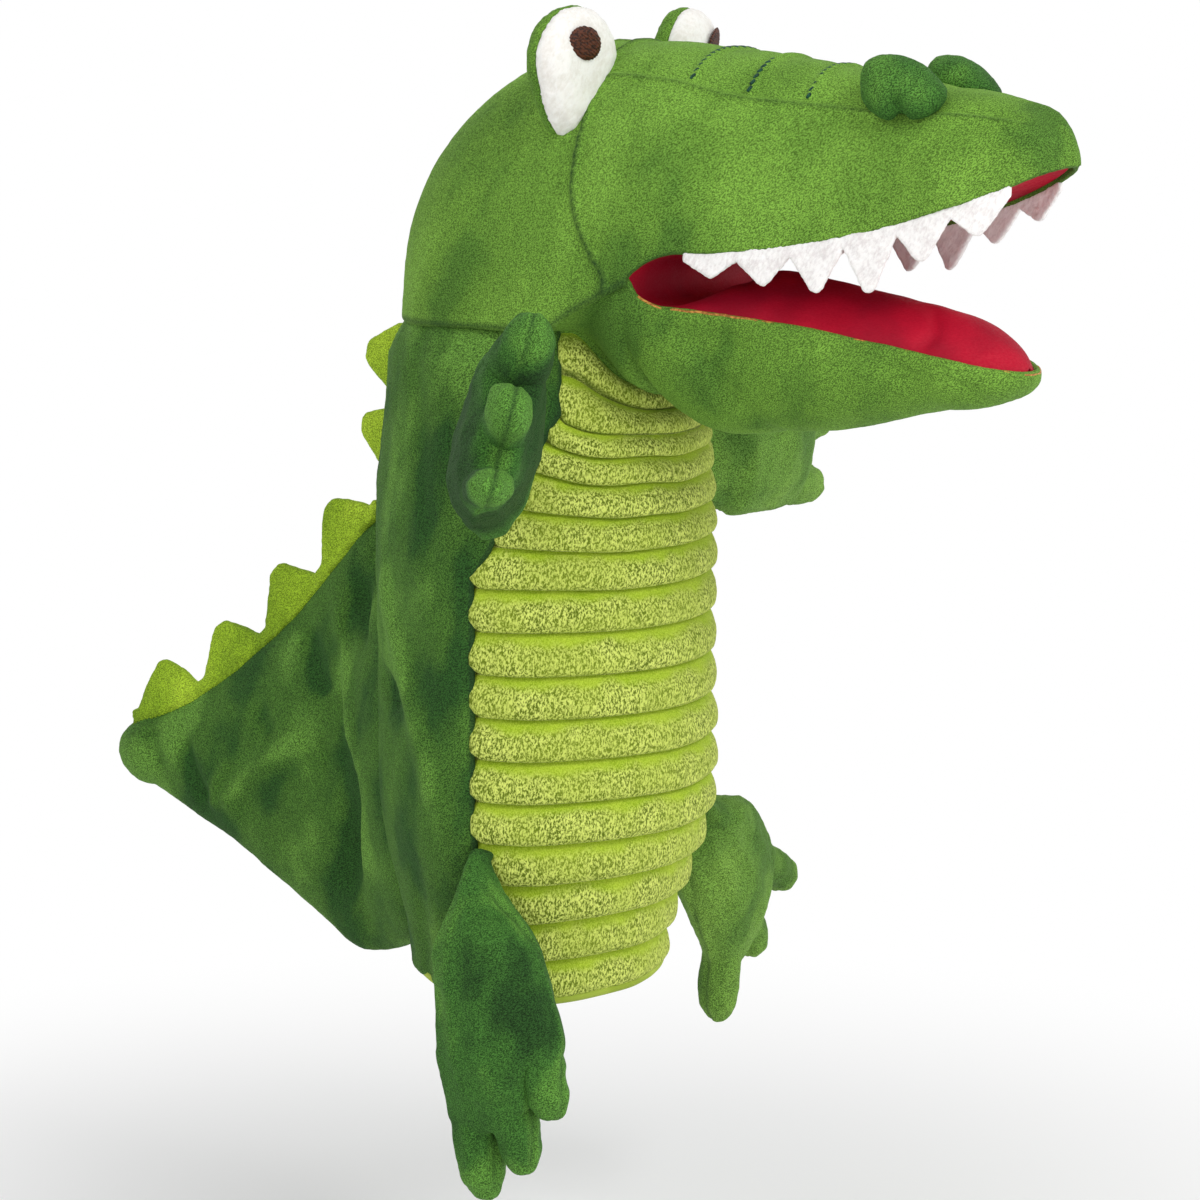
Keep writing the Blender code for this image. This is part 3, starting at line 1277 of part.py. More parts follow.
def build():
    make_belly()
    make_batting()
    make_back_panel("back_panel_left", 1)
    make_back_panel("back_panel_right", -1)
    make_lining()
    make_hem_band()
    make_neck_band()

    head_form = make_head_cutter()
    for label, side in (("left", 1), ("right", -1)):
        make_skull_panel("skull_panel_" + label, side)
        make_snout_side("snout_side_" + label, side)
        make_teeth("teeth_" + label, side)
        make_nostril("nostril_" + label, side, head_form)
        make_eye(side, label, head_form)
        make_cheek("cheek_gusset_" + label, side)
    make_snout_top()
    finger_space = make_finger_space()
    make_skull_filling(finger_space)
    make_snout_filling(finger_space)
    make_upper_board()
    make_upper_palate()
    make_pocket("finger_pocket", finger_rings)

    make_chin_panel()
    make_chin_filling()
    make_lower_board()
    make_lower_palate()
    make_pocket("thumb_pocket", thumb_rings)
    make_mouth_fold()

    make_tail_gusset()
    make_tail_panel("tail_panel_left", 1)
    make_tail_panel("tail_panel_right", -1)
    make_tail_filling()
    make_crest("back_crest", back_ridge(), BACK_SPIKE_START, BACK_SPIKE_PITCH, BACK_SPIKES)
    make_crest("tail_crest", tail_ridge(), TAIL_SPIKE_START, TAIL_SPIKE_PITCH, TAIL_SPIKES)

    arm = (ARM_LENGTH, ARM_ROOT_HALF_WIDTH, ARM_PALM_HALF_WIDTH, ARM_HALF_THICKNESS,
           0.0, FINGER_SPREAD, ARM_STAND_OFF)
    leg = (LEG_LENGTH, LEG_ROOT_HALF_WIDTH, LEG_PALM_HALF_WIDTH, LEG_HALF_THICKNESS)
    for label, side, arm_aim, leg_aim, leg_across, foot in (
            ("left", 1, LEFT_ARM_AIM, LEFT_LEG_AIM, LEFT_LEG_ACROSS, (LEFT_FOOT_SLANT, LEFT_TOE_SPREAD)),
            ("right", -1, RIGHT_ARM_AIM, RIGHT_LEG_AIM, RIGHT_LEG_ACROSS, (RIGHT_FOOT_SLANT, RIGHT_TOE_SPREAD))):
        shoulder = seam_place(ARM_SEAM_ANGLE, ARM_Z, side)
        limb = make_limb("arm_" + label, shoulder, shoulder[2], arm_aim, ARM_ACROSS, arm, DEEP_GREEN_PLUSH)
        hang(add_pivot("shoulder_pivot_" + label, shoulder[0]), [limb])
        hip = seam_place(LEG_SEAM_ANGLE, LEG_Z, side)
        limb = make_limb("leg_" + label, hip, hip[3], leg_aim, leg_across,
                         leg + foot + (LEG_STAND_OFF,), DEEP_GREEN_PLUSH)
        hang(add_pivot("hip_pivot_" + label, hip[0]), [limb])

    neck_pivot = add_pivot("neck_pivot", Vector((0.0, 0.0, NOD_Z)))
    head_pivot = add_pivot("head_pivot", Vector((0.0, 0.0, NOD_Z)))
    jaw_pivot = add_pivot("jaw_pivot", Vector((0.0, -HINGE_AHEAD, HINGE_Z)))
    tail_pivot = add_pivot("tail_pivot", Vector((0.0, TAIL_TURN_BACK, 0.0)))
    hang(neck_pivot, [head_pivot] + named("neck_band"))
    hang(head_pivot, [jaw_pivot] + named("skull_", "snout_", "eye_", "pupil_", "nostril_", "teeth_", "upper_",
                                         "finger_pocket", "mouth_fold"))
    hang(jaw_pivot, named("chin_", "lower_", "thumb_pocket", "cheek_gusset_"))
    hang(tail_pivot, named("tail_panel_", "tail_filling", "tail_crest"))


build()
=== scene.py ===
"""Looks of the crocodile hand puppet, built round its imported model.

Every fabric piece is a fine surface with its own seams, rolled edges, folds and nap. Sizes are in
millimetres, in the model's own frame: +Z is up and the puppet faces -Y. The helpers turn them into
Blender's metres. "Ahead" is how far a place lies in front of the sleeve's axis, so its y is minus
that.
"""

import math

import bmesh
import bpy
import numpy as np
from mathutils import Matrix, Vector


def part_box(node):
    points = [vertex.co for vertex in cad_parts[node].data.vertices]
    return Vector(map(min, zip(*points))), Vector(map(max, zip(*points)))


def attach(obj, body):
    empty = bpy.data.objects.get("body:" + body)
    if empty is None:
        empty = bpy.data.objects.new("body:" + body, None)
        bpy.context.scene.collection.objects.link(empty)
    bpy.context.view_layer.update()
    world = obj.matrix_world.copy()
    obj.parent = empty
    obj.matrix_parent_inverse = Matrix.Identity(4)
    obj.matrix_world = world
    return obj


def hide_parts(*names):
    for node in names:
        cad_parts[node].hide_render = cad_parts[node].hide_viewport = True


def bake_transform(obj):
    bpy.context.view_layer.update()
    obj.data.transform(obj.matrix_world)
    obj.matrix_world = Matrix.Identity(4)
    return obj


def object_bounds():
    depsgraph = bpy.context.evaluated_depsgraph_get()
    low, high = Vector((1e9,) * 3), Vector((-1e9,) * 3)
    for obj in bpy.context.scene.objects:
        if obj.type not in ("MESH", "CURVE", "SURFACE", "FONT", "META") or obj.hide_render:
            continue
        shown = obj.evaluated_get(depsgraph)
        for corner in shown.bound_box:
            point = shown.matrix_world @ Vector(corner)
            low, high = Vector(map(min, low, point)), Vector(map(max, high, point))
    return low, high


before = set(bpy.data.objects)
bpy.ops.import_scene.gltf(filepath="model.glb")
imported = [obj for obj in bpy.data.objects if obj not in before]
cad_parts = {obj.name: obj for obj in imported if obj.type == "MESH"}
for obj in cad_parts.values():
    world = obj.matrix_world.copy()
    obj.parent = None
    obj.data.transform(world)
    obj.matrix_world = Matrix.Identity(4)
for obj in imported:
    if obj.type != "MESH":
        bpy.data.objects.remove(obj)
cad_box = [list(corner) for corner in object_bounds()]

MM = 0.001                        # in metres

# ---- forms shared with the solids
HINGE_AHEAD, HINGE_Z = 57, 230
NAPE_BACK, CROWN_AHEAD, HEAD_SEAM_AHEAD = 46, 38, 37
NOSE_AHEAD, SNOUT_TIP_AHEAD = 145, 183
HEAD_HALF_WIDTH, NOSE_HALF_WIDTH = 47, 24.5
NAPE_Z, CROWN_Z, NOSE_Z, SNOUT_TIP_Z = 229, 302, 288, 266
UPPER_LIP_Z, UPPER_LIP_RISE, UPPER_LIP_DROP = 240, 26, 8.4
JAW_NOSE_AHEAD, JAW_TIP_AHEAD = 145, 172
LOWER_LIP_Z, JAW_TIP_Z, CHIN_Z, CHIN_RISE = 221.5, 204.5, 181, 12.5
PUFF_AHEAD = 88                   # behind this the puffed floor of the mouth dies away
LIP_STRAIGHT_AHEAD, LOWER_LIP_AHEAD = 74, 70
RIB_COUNT = 15
COLLAR_BACK_Z, COLLAR_FRONT_Z = 203, 182
NECK_FRONT, NECK_HALF_WIDTH = 44, 46
NECK_SEAM_BACK_Z, NECK_SEAM_FRONT_Z = 215, 197
SEAM_LEVEL_AHEAD = 31             # the neck seam is level behind this, and dips under the chin
TAIL_ROOT, TAIL_LENGTH = 74, 108
# half width, front and back of the sleeve, each at the hem, at its fullest and at the collar
SLEEVE_SIZES = ((47, 58, 51), (34.5, 53, 48), (48, 59, 54))
SLEEVE_FULL = SLEEVE_SIZES[0][1]
BACK_POWER = 1.7                  # 2 is an ellipse; less is flatter at the sides

# ---- seams and stitching
STITCH_LINES = (70, 89, 107.5)
STITCH_SHARES = np.array([0, 0.015, 0.1, 0.5, 0.9, 0.985, 1])     # rings along one stitch
STITCH_RADII = np.array([0, 0.5, 0.85, 1, 0.85, 0.5, 0]) * 0.55
POINTS_MEET = 0.02

# the neck's edge goes up inside the head, so that no slit opens when it nods: inset and rise
NECK_TUCK = ((1.6, 0.2), (2.8, 0.8), (3.3, 3), (3.6, 5.5), (3.8, 8), (4, 10.5))

# the lining's lower edge, turned round the hem: height and inset
HEM_ROLL = ((2.4, 1.6), (0.9, 1.2), (0.1, 2), (0.2, 3.4), (1.4, 4.6), (3.4, 5.2), (6, 5.8))

# folds of the back and the tail: a path of places behind the axis and heights, then depth and width.
# A negative depth is a ridge.
FOLDS = (
    ([(71, 127), (59, 111), (33, 99), (23, 93)], 3.5, 4),
    ([(92, 108), (84, 94), (78, 86)], 2.5, 4.5),
    ([(61, 67), (60, 57), (67, 37), (78, 17)], 4, 6),
    ([(82, 65), (65, 68)], 1.5, 5),
    ([(147, 65), (141, 50), (137, 41)], 2.8, 3.5),
    ([(163, 65), (158, 50)], 1.6, 3.5),
    ([(111, 79), (105, 69)], 1.5, 4),
    ([(125, 39), (108, 51), (90, 62)], 1.2, 6),
    ([(80, 122), (70, 104), (64, 84), (56, 69), (56, 49), (65, 20)], -2.5, 4.5),
    ([(130, 40), (118, 51), (98, 66), (86, 70)], -2.2, 4),
    ([(33, 143), (31, 126), (22, 112), (15, 94), (7, 74), (3, 62)], -2, 5),
    ([(135, 39), (130, 51), (124, 58)], -1.2, 2),
)

# dents of the stuffing: depth, place ahead and its spread, height and its spread
SNOUT_DENTS = ((1.6, 172, 6, 276, 6), (-1.2, 120, 20, 268, 12), (-1, 88, 16, 262, 14),
               (1.2, 66, 9, 256, 10))
CHIN_DENTS = ((1.4, 84, 10, 214, 9), (-1.5, 112, 22, 203, 10))


# ---- curves in numpy

def mix(a, b, t):
    return a + (b - a) * t


def ease(t):
    t = np.clip(t, 0, 1)
    return t * t * (3 - 2 * t)


def past(place, start, end):
    """Share of the way from start to end: 0 before it, 1 after it."""
    return np.clip((place - start) / (end - start), 0, 1)


def rounded_end(t):
    return np.sqrt(np.maximum(0, 1 - np.square(t)))


def bulge(value, power):
    return np.sign(value) * np.abs(value) ** (2 / power)


def stack(x, y, z):
    return np.stack(np.broadcast_arrays(x, y, z), axis=-1)


def to_tip(start, nose, tip, count, tip_count, turn=math.pi / 2 - 0.004):
    """Places from start to the nose in even steps, then in shorter and shorter ones to the tip."""
    nose_to_tip = nose + (tip - nose) * np.sin(np.linspace(0, turn, tip_count))
    return np.concatenate([np.linspace(start, nose, count), nose_to_tip[1:]])


def circle(count):
    """Angles all the way round."""
    return np.linspace(0, 2 * math.pi, count, endpoint=False)


def groove(distance, depth, width):
    return depth * np.exp(-np.square(distance / width))


def sewn(distance, depth, width, puff, reach):
    """A seam pulled in between two puffed sides."""
    return groove(distance, depth, width) - groove(distance, puff, reach)


def spot(out, up, depth, ahead, wide, height, tall):
    """A round dent."""
    return groove(out - ahead, depth, wide) * groove(up - height, 1, tall)


def soft_noise(points, size, seed=0):
    """Smooth noise from -1 to 1, with lumps of one size."""
    place = points / size
    cell = np.floor(place).astype(np.int64)
    part = place - cell
    part = part * part * (3 - 2 * part)
    total = np.zeros(len(points))
    for corner in range(8):
        step = np.array([corner & 1, corner >> 1 & 1, corner >> 2 & 1])
        i, j, k = (cell + step).T
        key = (i * 73856093) ^ (j * 19349663) ^ (k * 83492791) ^ (seed * 2654435761)
        key = (key ^ (key >> 13)) & 0xFFFFFFFF
        key = (key * 1274126177) & 0xFFFFFFFF
        value = ((key ^ (key >> 15)) & 0xFFFF) / 32767.5 - 1
        total += value * np.prod(np.where(step, part, 1 - part), axis=1)
    return total


def lumps(points, seed, *waves):
    """Sum of soft noises, each an amount and a size, with seeds that follow on."""
    return sum(amount * soft_noise(points, size, seed + k)
               for k, (amount, size) in enumerate(waves))


def stroke(points, path, depth, width):
    """A fold along a path on the side of the puppet."""
    side = points[:, 1:]
    ends = np.array(path, dtype=float)
    near = np.full(len(points), math.inf)
    along = np.zeros(len(points))
    for k, (start, end) in enumerate(zip(ends[:-1], ends[1:])):
        line = end - start
        share = np.clip((side - start) @ line / (line @ line), 0, 1)
        away = np.linalg.norm(side - start - share[:, None] * line, axis=1)
        along = np.where(away < near, (k + share) / (len(ends) - 1), along)
        near = np.minimum(near, away)
    fade = mix(0.3, 1, ease(np.minimum(along, 1 - along) / 0.15))
    return groove(near, depth, width) * fade


def folds(points):
    """Depth of all folds at each point."""
    return sum(stroke(points, *fold) for fold in FOLDS)


# ---- mesh helpers

def mesh_object(name, points, faces):
    mesh = bpy.data.meshes.new(name)
    mesh.from_pydata((points * MM).tolist(), [], faces)
    mesh.validate()
    mesh.shade_smooth()
    piece = bpy.data.objects.new(name, mesh)
    bpy.context.scene.collection.objects.link(piece)
    return piece


def grid_faces(rows, columns, start=0, closed=False, flip=False):
    i, j = np.meshgrid(np.arange(rows - 1), np.arange(columns if closed else columns - 1), indexing="ij")
    k = (j + 1) % columns
    low, high = i * columns, (i + 1) * columns
    quads = np.stack([low + j, low + k, high + k, high + j], axis=-1)
    if flip:
        quads = quads[..., ::-1]
    return (quads.reshape(-1, 4) + start).tolist()


def strip(first, second, count):
    """Faces between two runs of points."""
    return [(first + k, first + k + 1, second + k + 1, second + k) for k in range(count - 1)]


def grid_object(name, grid, closed=False, flip=False):
    """A surface through rows of points."""
    rows, columns = grid.shape[:2]
    return mesh_object(name, grid.reshape(-1, 3), grid_faces(rows, columns, 0, closed, flip))


def mend(piece):
    """Merge points that meet, turn neighbouring faces the same way and split the flat ends."""
    made = bmesh.new()
    made.from_mesh(piece.data)
    bmesh.ops.remove_doubles(made, verts=made.verts[:], dist=POINTS_MEET * MM)
    bmesh.ops.recalc_face_normals(made, faces=made.faces[:])
    bmesh.ops.triangulate(made, faces=[face for face in made.faces if len(face.verts) > 4])
    made.to_mesh(piece.data)
    made.free()
    piece.data.shade_smooth()


def face_outward(piece):
    """Make both sides of an open piece face away from the middle plane."""
    if np.sum(normals_of(piece)[:, 0] * points_of(piece)[:, 0]) < 0:
        piece.data.flip_normals()


def keep_values(piece, name, values):
    attribute = piece.data.attributes.new(name, 'FLOAT', 'POINT')
    attribute.data.foreach_set("value", np.asarray(values, dtype=np.float32).ravel())


def vectors(items, name):
    values = np.empty(len(items) * 3, dtype=np.float32)
    items.foreach_get(name, values)
    return values.reshape(-1, 3).astype(float)


def points_of(piece):
    return vectors(piece.data.vertices, "co") / MM


def normals_of(piece):
    return vectors(piece.data.vertex_normals, "vector")


def set_points(piece, points):
    piece.data.vertices.foreach_set("co", (points * MM).astype(np.float32).ravel())
    piece.data.update()


def push(piece, distance):
    """Move each point along its normal."""
    set_points(piece, points_of(piece) + normals_of(piece) * np.asarray(distance)[:, None])


def nap(piece, stuffing, pile, seed):
    """Uneven stuffing and short pile."""
    waves = ((0.6 * stuffing, 22), (0.4 * stuffing, 9), (pile, 1.5))
    push(piece, lumps(points_of(piece), seed, *waves))


def apply_modifiers(piece):
    bpy.context.view_layer.update()
    evaluated = piece.evaluated_get(bpy.context.evaluated_depsgraph_get())
    mesh = bpy.data.meshes.new_from_object(evaluated)
    piece.modifiers.clear()
    old = piece.data
    piece.data = mesh
    bpy.data.meshes.remove(old)


def thicken(piece, thickness, offset=-1):
    modifier = piece.modifiers.new("thickness", 'SOLIDIFY')
    modifier.thickness = thickness * MM
    modifier.offset = offset
    apply_modifiers(piece)


def rolled(grid, radius, reach, rounds=5, backs=3, to_axis=False):
    """Turn the first and last columns of a grid under, like a sewn edge."""
    across = np.gradient(grid, axis=0)
    out = grid
    for edge, after in ((0, 1), (-1, -2)):
        rim = grid[:, edge]
        tangent = rim - grid[:, after]
        tangent /= np.linalg.norm(tangent, axis=1)[:, None] + 1e-12
        normal = np.cross(across[:, edge], tangent)
        normal /= np.linalg.norm(normal, axis=1)[:, None] + 1e-12
        centre = rim * [0, 0, 1] if to_axis else grid.mean(axis=1)
        inward = np.sign(np.sum((centre - rim) * normal, axis=1))[:, None] * normal
        extra = []
        for k in range(1, rounds + 1):
            turn = math.pi * k / rounds
            extra.append(rim + tangent * radius * math.sin(turn) + inward * radius * (1 - math.cos(turn)))
        for k in range(1, backs + 1):
            extra.append(extra[rounds - 1] - tangent * reach * k / backs)
        extra = np.stack(extra, axis=1)
        out = np.concatenate([extra[:, ::-1], out] if edge == 0 else [out, extra], axis=1)
    return out


def real_column(grid, columns):
    """Column of each point of a grid, counted from before its edges were rolled under."""
    return np.tile(np.arange(grid.shape[1]) - (grid.shape[1] - columns) // 2, grid.shape[0])


def rings(path, radius, up=(0, 0, 1), around=8):
    """Circles of points round a path."""
    tangent = np.gradient(path, axis=0)
    tangent /= np.linalg.norm(tangent, axis=1)[:, None]
    side = np.cross(tangent, up)
    side /= np.linalg.norm(side, axis=1)[:, None] + 1e-12
    other = np.cross(tangent, side)
    turns = circle(around)[:, None]
    radius = np.broadcast_to(radius, (len(path),))[:, None, None]
    return path[:, None] + radius * (side[:, None] * np.cos(turns) + other[:, None] * np.sin(turns))


def soft_copy(name, node, voxel, smooth):
    """A fine, softened copy of a CAD node."""
    piece = bpy.data.objects.new(name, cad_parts[node].data.copy())
    piece.data.materials.clear()
    bpy.context.scene.collection.objects.link(piece)
    remesh = piece.modifiers.new("remesh", 'REMESH')
    remesh.mode = 'VOXEL'
    remesh.voxel_size = voxel * MM
    soften = piece.modifiers.new("soften", 'SMOOTH')
    soften.iterations = smooth
    soften.factor = 0.5
    apply_modifiers(piece)
    piece.data.shade_smooth()
    return piece


def dress(piece, material, slot, *nodes):
    piece.data.materials.clear()
    piece.data.materials.append(material)
    if nodes:
        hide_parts(*nodes)


# ---- materials

def linear(colour):
    """A colour that is given as it looks, from 0 to 255."""
    shares = [part / 255 for part in colour]
    return tuple(s / 12.92 if s <= 0.04045 else ((s + 0.055) / 1.055) ** 2.4 for s in shares) + (1,)


class Nodes:
    """Adds nodes to the tree of a material or of the world."""

    def __init__(self, owner):
        owner.use_nodes = True
        self.tree = owner.node_tree

    def feed(self, node, inputs):
        """Connect or set inputs, by name or by number; a colour of three parts is from 0 to 255."""
        for key, value in inputs.items():
            socket = node.inputs[key]
            if isinstance(value, bpy.types.NodeSocket):
                self.tree.links.new(value, socket)
            else:
                seen = socket.type == 'RGBA' and len(value) == 3
                socket.default_value = linear(value) if seen else value

    def node(self, kind, inputs={}, **settings):
        """A new node with its inputs and its other settings."""
        made = self.tree.nodes.new("ShaderNode" + kind)
        for name, value in settings.items():
            setattr(made, name, value)
        self.feed(made, inputs)
        return made

    def math(self, operation, a, b):
        return self.node("Math", {0: a, 1: b}, operation=operation).outputs[0]

    def weigh(self, *pairs):
        """Sum of values, each times its weight."""
        parts = [self.math('MULTIPLY', value, weight) for value, weight in pairs]
        total = parts[0]
        for part in parts[1:]:
            total = self.math('ADD', total, part)
        return total

    def spread(self, value, low, high, to_low=0, to_high=1, kind='SMOOTHSTEP'):
        return self.node("MapRange", {"Value": value, "From Min": low, "From Max": high, "To Min": to_low,
                                      "To Max": to_high}, interpolation_type=kind).outputs[0]

    def choose(self, share, first, second, output):
        """Mix two shaders and show the result."""
        mixed = self.node("MixShader", {0: share, 1: first.outputs[0], 2: second.outputs[0]})
        self.feed(self.tree.nodes[output], {"Surface": mixed.outputs[0]})


class Fabric(Nodes):
    """A cloth made of noises and of values kept on the mesh."""

    def __init__(self, name, roughness, sheen, sheen_colour, sheen_roughness):
        self.material = bpy.data.materials.new(name)
        super().__init__(self.material)
        self.shader = self.tree.nodes["Principled BSDF"]
        self.feed(self.shader, {"Roughness": roughness, "Specular IOR Level": 0.25, "Sheen Weight": sheen,
                                "Sheen Roughness": sheen_roughness, "Sheen Tint": sheen_colour})
        self.place = self.node("TexCoord").outputs["Object"]

    def noise(self, size, detail=2, stretch=(1, 1, 1), turn=(0, 0, 0), roughness=0.5):
        """Noise from 0 to 1 with lumps of one size, drawn out along turned axes."""
        moved = self.node("Mapping", {"Vector": self.place, "Rotation": turn, "Scale": stretch},
                          vector_type='TEXTURE')
        return self.node("TexNoise", {"Vector": moved.outputs[0], "Scale": 1 / (size * MM),
                                      "Detail": detail, "Roughness": roughness}).outputs["Fac"]

    def blend(self, share, a, b, kind='MIX'):
        return self.node("Mix", {0: share, 6: a, 7: b}, data_type='RGBA', blend_type=kind).outputs[2]

    def attribute(self, name):
        return self.node("Attribute", attribute_name=name).outputs["Fac"]

    # darkens along the seams: thread and painted shade
    def thread_and_shade_along_seams(self, colour, weight, thread_and_shade_colour):
        return self.blend(self.weigh((self.attribute("seam"), weight)), colour, thread_and_shade_colour)

    def finish(self, colour, heights, roughness=None):
        """Connect the colour and a chain of bumps, each a height, a distance and a strength."""
        result = {"Base Color": colour}
        if roughness:
            result["Roughness"] = roughness
        below = {}
        for height, distance, strength in heights:
            bump = {"Height": height, "Distance": distance * MM, "Strength": strength}
            below = {"Normal": self.node("Bump", bump | below).outputs[0]}
        self.feed(self.shader, result | below)
        return self.material


def plush(name, light, middle, dark, sheen, contrast):
    """Short pile over a fine diagonal backing: painted shade in folds, thread and painted shade along
    seams, pale where it is brushed, and painted highlights and shade kept on the mesh as its fold value.
    """
    cloth = Fabric(name, 0.85, sheen, light, 0.35)
    brushed = cloth.noise(26, 3, (1, 1, 1.7), (0.3, 0, 0))
    # the fold value kept on the mesh mixes random tone with painted shade and painted highlights: more is
    # darker
    tone = cloth.weigh((brushed, 1), (cloth.attribute("fold"), -0.2))
    colour = cloth.blend(cloth.spread(tone, 0.34, 0.5), dark, middle)
    colour = cloth.blend(cloth.spread(tone, 0.5, 0.68), colour, light)
    twill = cloth.noise(0.27, 0, (1, 1, 2.2), (0.8, 0.5, 0))
    pile = cloth.noise(0.81, 2, (1, 1, 1.4), (-0.4, 0.2, 0.3), 0.6)
    marks = cloth.weigh((twill, 0.86), (pile, 0.14))
    deep = cloth.blend(contrast, colour, (0, 0, 0, 1))
    pale = cloth.blend(contrast, colour, cloth.blend(1, colour, (2, 1.9, 2, 1), 'MULTIPLY'))
    colour = cloth.blend(cloth.spread(marks, 0.36, 0.64, kind='LINEAR'), deep, pale)
    # seams darken with thread and painted shade
    colour = cloth.thread_and_shade_along_seams(colour, 0.8, (24, 52, 22))
    rough = cloth.spread(marks, 0.3, 0.7, 0.95, 0.75)
    return cloth.finish(colour, [(brushed, 2, 0.3), (marks, 0.35, 0.7)], rough)


def velour():
    """Ribbed velour: smooth under each seam, nappy below, woven at the seam itself."""
    cloth = Fabric("belly_velour", 0.85, 0.25, (190, 205, 100), 0.4)
    phase = cloth.attribute("rib")
    height = cloth.weigh((phase, 1), (cloth.math('SUBTRACT', cloth.noise(9), 0.5), 0.45))
    nappy = cloth.spread(height, 0.86, 0.6)
    clumps = cloth.noise(0.62, 1.5, (1, 1, 2), (0.15, 0, 0), 0.6)
    curls = cloth.noise(0.36, 1, (1, 1, 1.5))
    tufts = cloth.weigh((clumps, 0.68), (curls, 0.32))
    patches = cloth.noise(15)
    fluffy = cloth.blend(cloth.spread(tufts, 0.4, 0.6), (88, 106, 12), (210, 222, 110))
    fluffy = cloth.blend(cloth.spread(patches, 0.35, 0.65, 0, 0.3), fluffy, (152, 174, 44))
    smooth = cloth.blend(cloth.spread(patches, 0.35, 0.65), (146, 178, 22), (170, 196, 46))
    grain = cloth.blend(cloth.spread(curls, 0.38, 0.62), (122, 148, 20), (184, 204, 70))
    colour = cloth.blend(nappy, cloth.blend(0.5, smooth, grain), fluffy)
    twill = cloth.node("TexWave", {"Vector": cloth.place, "Scale": 1 / (4.2 * MM), "Distortion": 0.6,
                                   "Detail": 1}, bands_direction='DIAGONAL').outputs["Fac"]
    edge = cloth.math('MAXIMUM', cloth.spread(phase, 0.9, 0.99), cloth.spread(phase, 0.06, 0))
    weave = cloth.math('MULTIPLY', edge, cloth.spread(twill, 0.35, 0.65))
    colour = cloth.blend(cloth.weigh((weave, 0.6)), colour, (96, 116, 20))
    # seams between the ribs: thread and painted shade
    colour = cloth.thread_and_shade_along_seams(colour, 0.7, (64, 84, 18))
    relief = cloth.math('MULTIPLY', tufts, cloth.spread(nappy, 0, 1, 0.4, 1))
    return cloth.finish(colour, [(relief, 0.8, 0.8), (twill, 0.12, 0.4)])


def lining(name, light, dark, sheen=0.2):
    """Brushed flat lining cloth."""
    cloth = Fabric(name, 0.7, sheen, light, 0.4)
    colour = cloth.blend(cloth.spread(cloth.noise(24, 3), 0.35, 0.65), dark, light)
    threads = cloth.noise(0.5, 2, (1, 2, 1), (0, 0, 0.5), 0.6)
    colour = cloth.blend(cloth.spread(threads, 0.3, 0.7, 0, 0.25), colour, dark)
    creases = cloth.noise(9, 2, (1, 2.4, 1))
    rough = cloth.spread(threads, 0.3, 0.7, 0.62, 0.82)
    return cloth.finish(colour, [(creases, 1.2, 0.25), (threads, 0.2, 0.5)], rough)


def fleece(name, light, dark, size, relief):
    """Felt or white plush: matted fibres."""
    cloth = Fabric(name, 0.95, 0.3, light, 0.5)
    cloth.feed(cloth.shader, {"Subsurface Weight": 0.25, "Subsurface Radius": (1, 0.9, 0.85),
                              "Subsurface Scale": 3 * MM})
    fibres = cloth.noise(size, 3, (1, 1, 2), (0.5, 0.2, 0), 0.65)
    tone = cloth.weigh((cloth.noise(6), 0.4), (fibres, 0.6))
    colour = cloth.blend(cloth.spread(tone, 0.36, 0.58), cloth.blend(0.5, light, dark), light)
    return cloth.finish(colour, [(fibres, relief, 0.5)], cloth.spread(fibres, 0.3, 0.7, 0.88, 1))


def thread(name, light, dark, size=0.5, stretch=(1, 1, 5)):
    """Shiny stitched thread."""
    cloth = Fabric(name, 0.5, 0.1, light, 0.3)
    strands = cloth.noise(size, 2, stretch)
    colour = cloth.blend(cloth.spread(strands, 0.4, 0.6), dark, light)
    return cloth.finish(colour, [(strands, 0.3, 0.8)])


HEAD_PLUSH = plush("head_plush", (108, 152, 54), (95, 137, 46), (72, 112, 36), 0.22, 0.5)
BODY_PLUSH = plush("body_plush", (88, 132, 48), (62, 102, 32), (34, 74, 22), 0.3, 0.6)
LIMB_PLUSH = plush("limb_plush", (80, 128, 46), (54, 100, 34), (30, 66, 20), 0.12, 0.6)
# a paler copy of the limb plush for the far limbs: painted light
PAINTED_LIGHT_LIMB_PLUSH = plush("limb_plush_painted_light", (108, 148, 58), (94, 134, 50), (70, 108, 38), 0.35, 0.55)
CREST_PLUSH = plush("crest_plush", (160, 192, 48), (136, 170, 34), (108, 142, 24), 0.3, 0.45)
VELOUR = velour()
RED = lining("mouth_lining_cloth", (180, 2, 40), (150, 0, 34), 0.1)
LIME = lining("hem_lining_cloth", (172, 190, 78), (138, 158, 46))
GLOVE = lining("pocket_cloth", (176, 192, 92), (140, 158, 62))
FELT = fleece("tooth_felt", (240, 238, 236), (196, 186, 186), 0.8, 0.4)
WHITE = fleece("eye_plush", (238, 236, 232), (214, 208, 198), 1.2, 0.5)
BROWN = thread("pupil_thread", (88, 46, 30), (44, 22, 14), 0.6, (2, 1, 1))
TEAL = thread("stitch_thread", (14, 74, 50), (6, 42, 30))
ORANGE = thread("lip_seam_thread", (196, 140, 66), (140, 92, 40), 0.8, (1, 1, 1))


# ---- sleeve

def sleeve_size(z):
    swell = ease(z / 68)
    narrow = ease((z - (COLLAR_FRONT_Z - 40)) / 80)
    return [mix(mix(hem, full, swell), collar, narrow) for hem, full, collar in SLEEVE_SIZES]


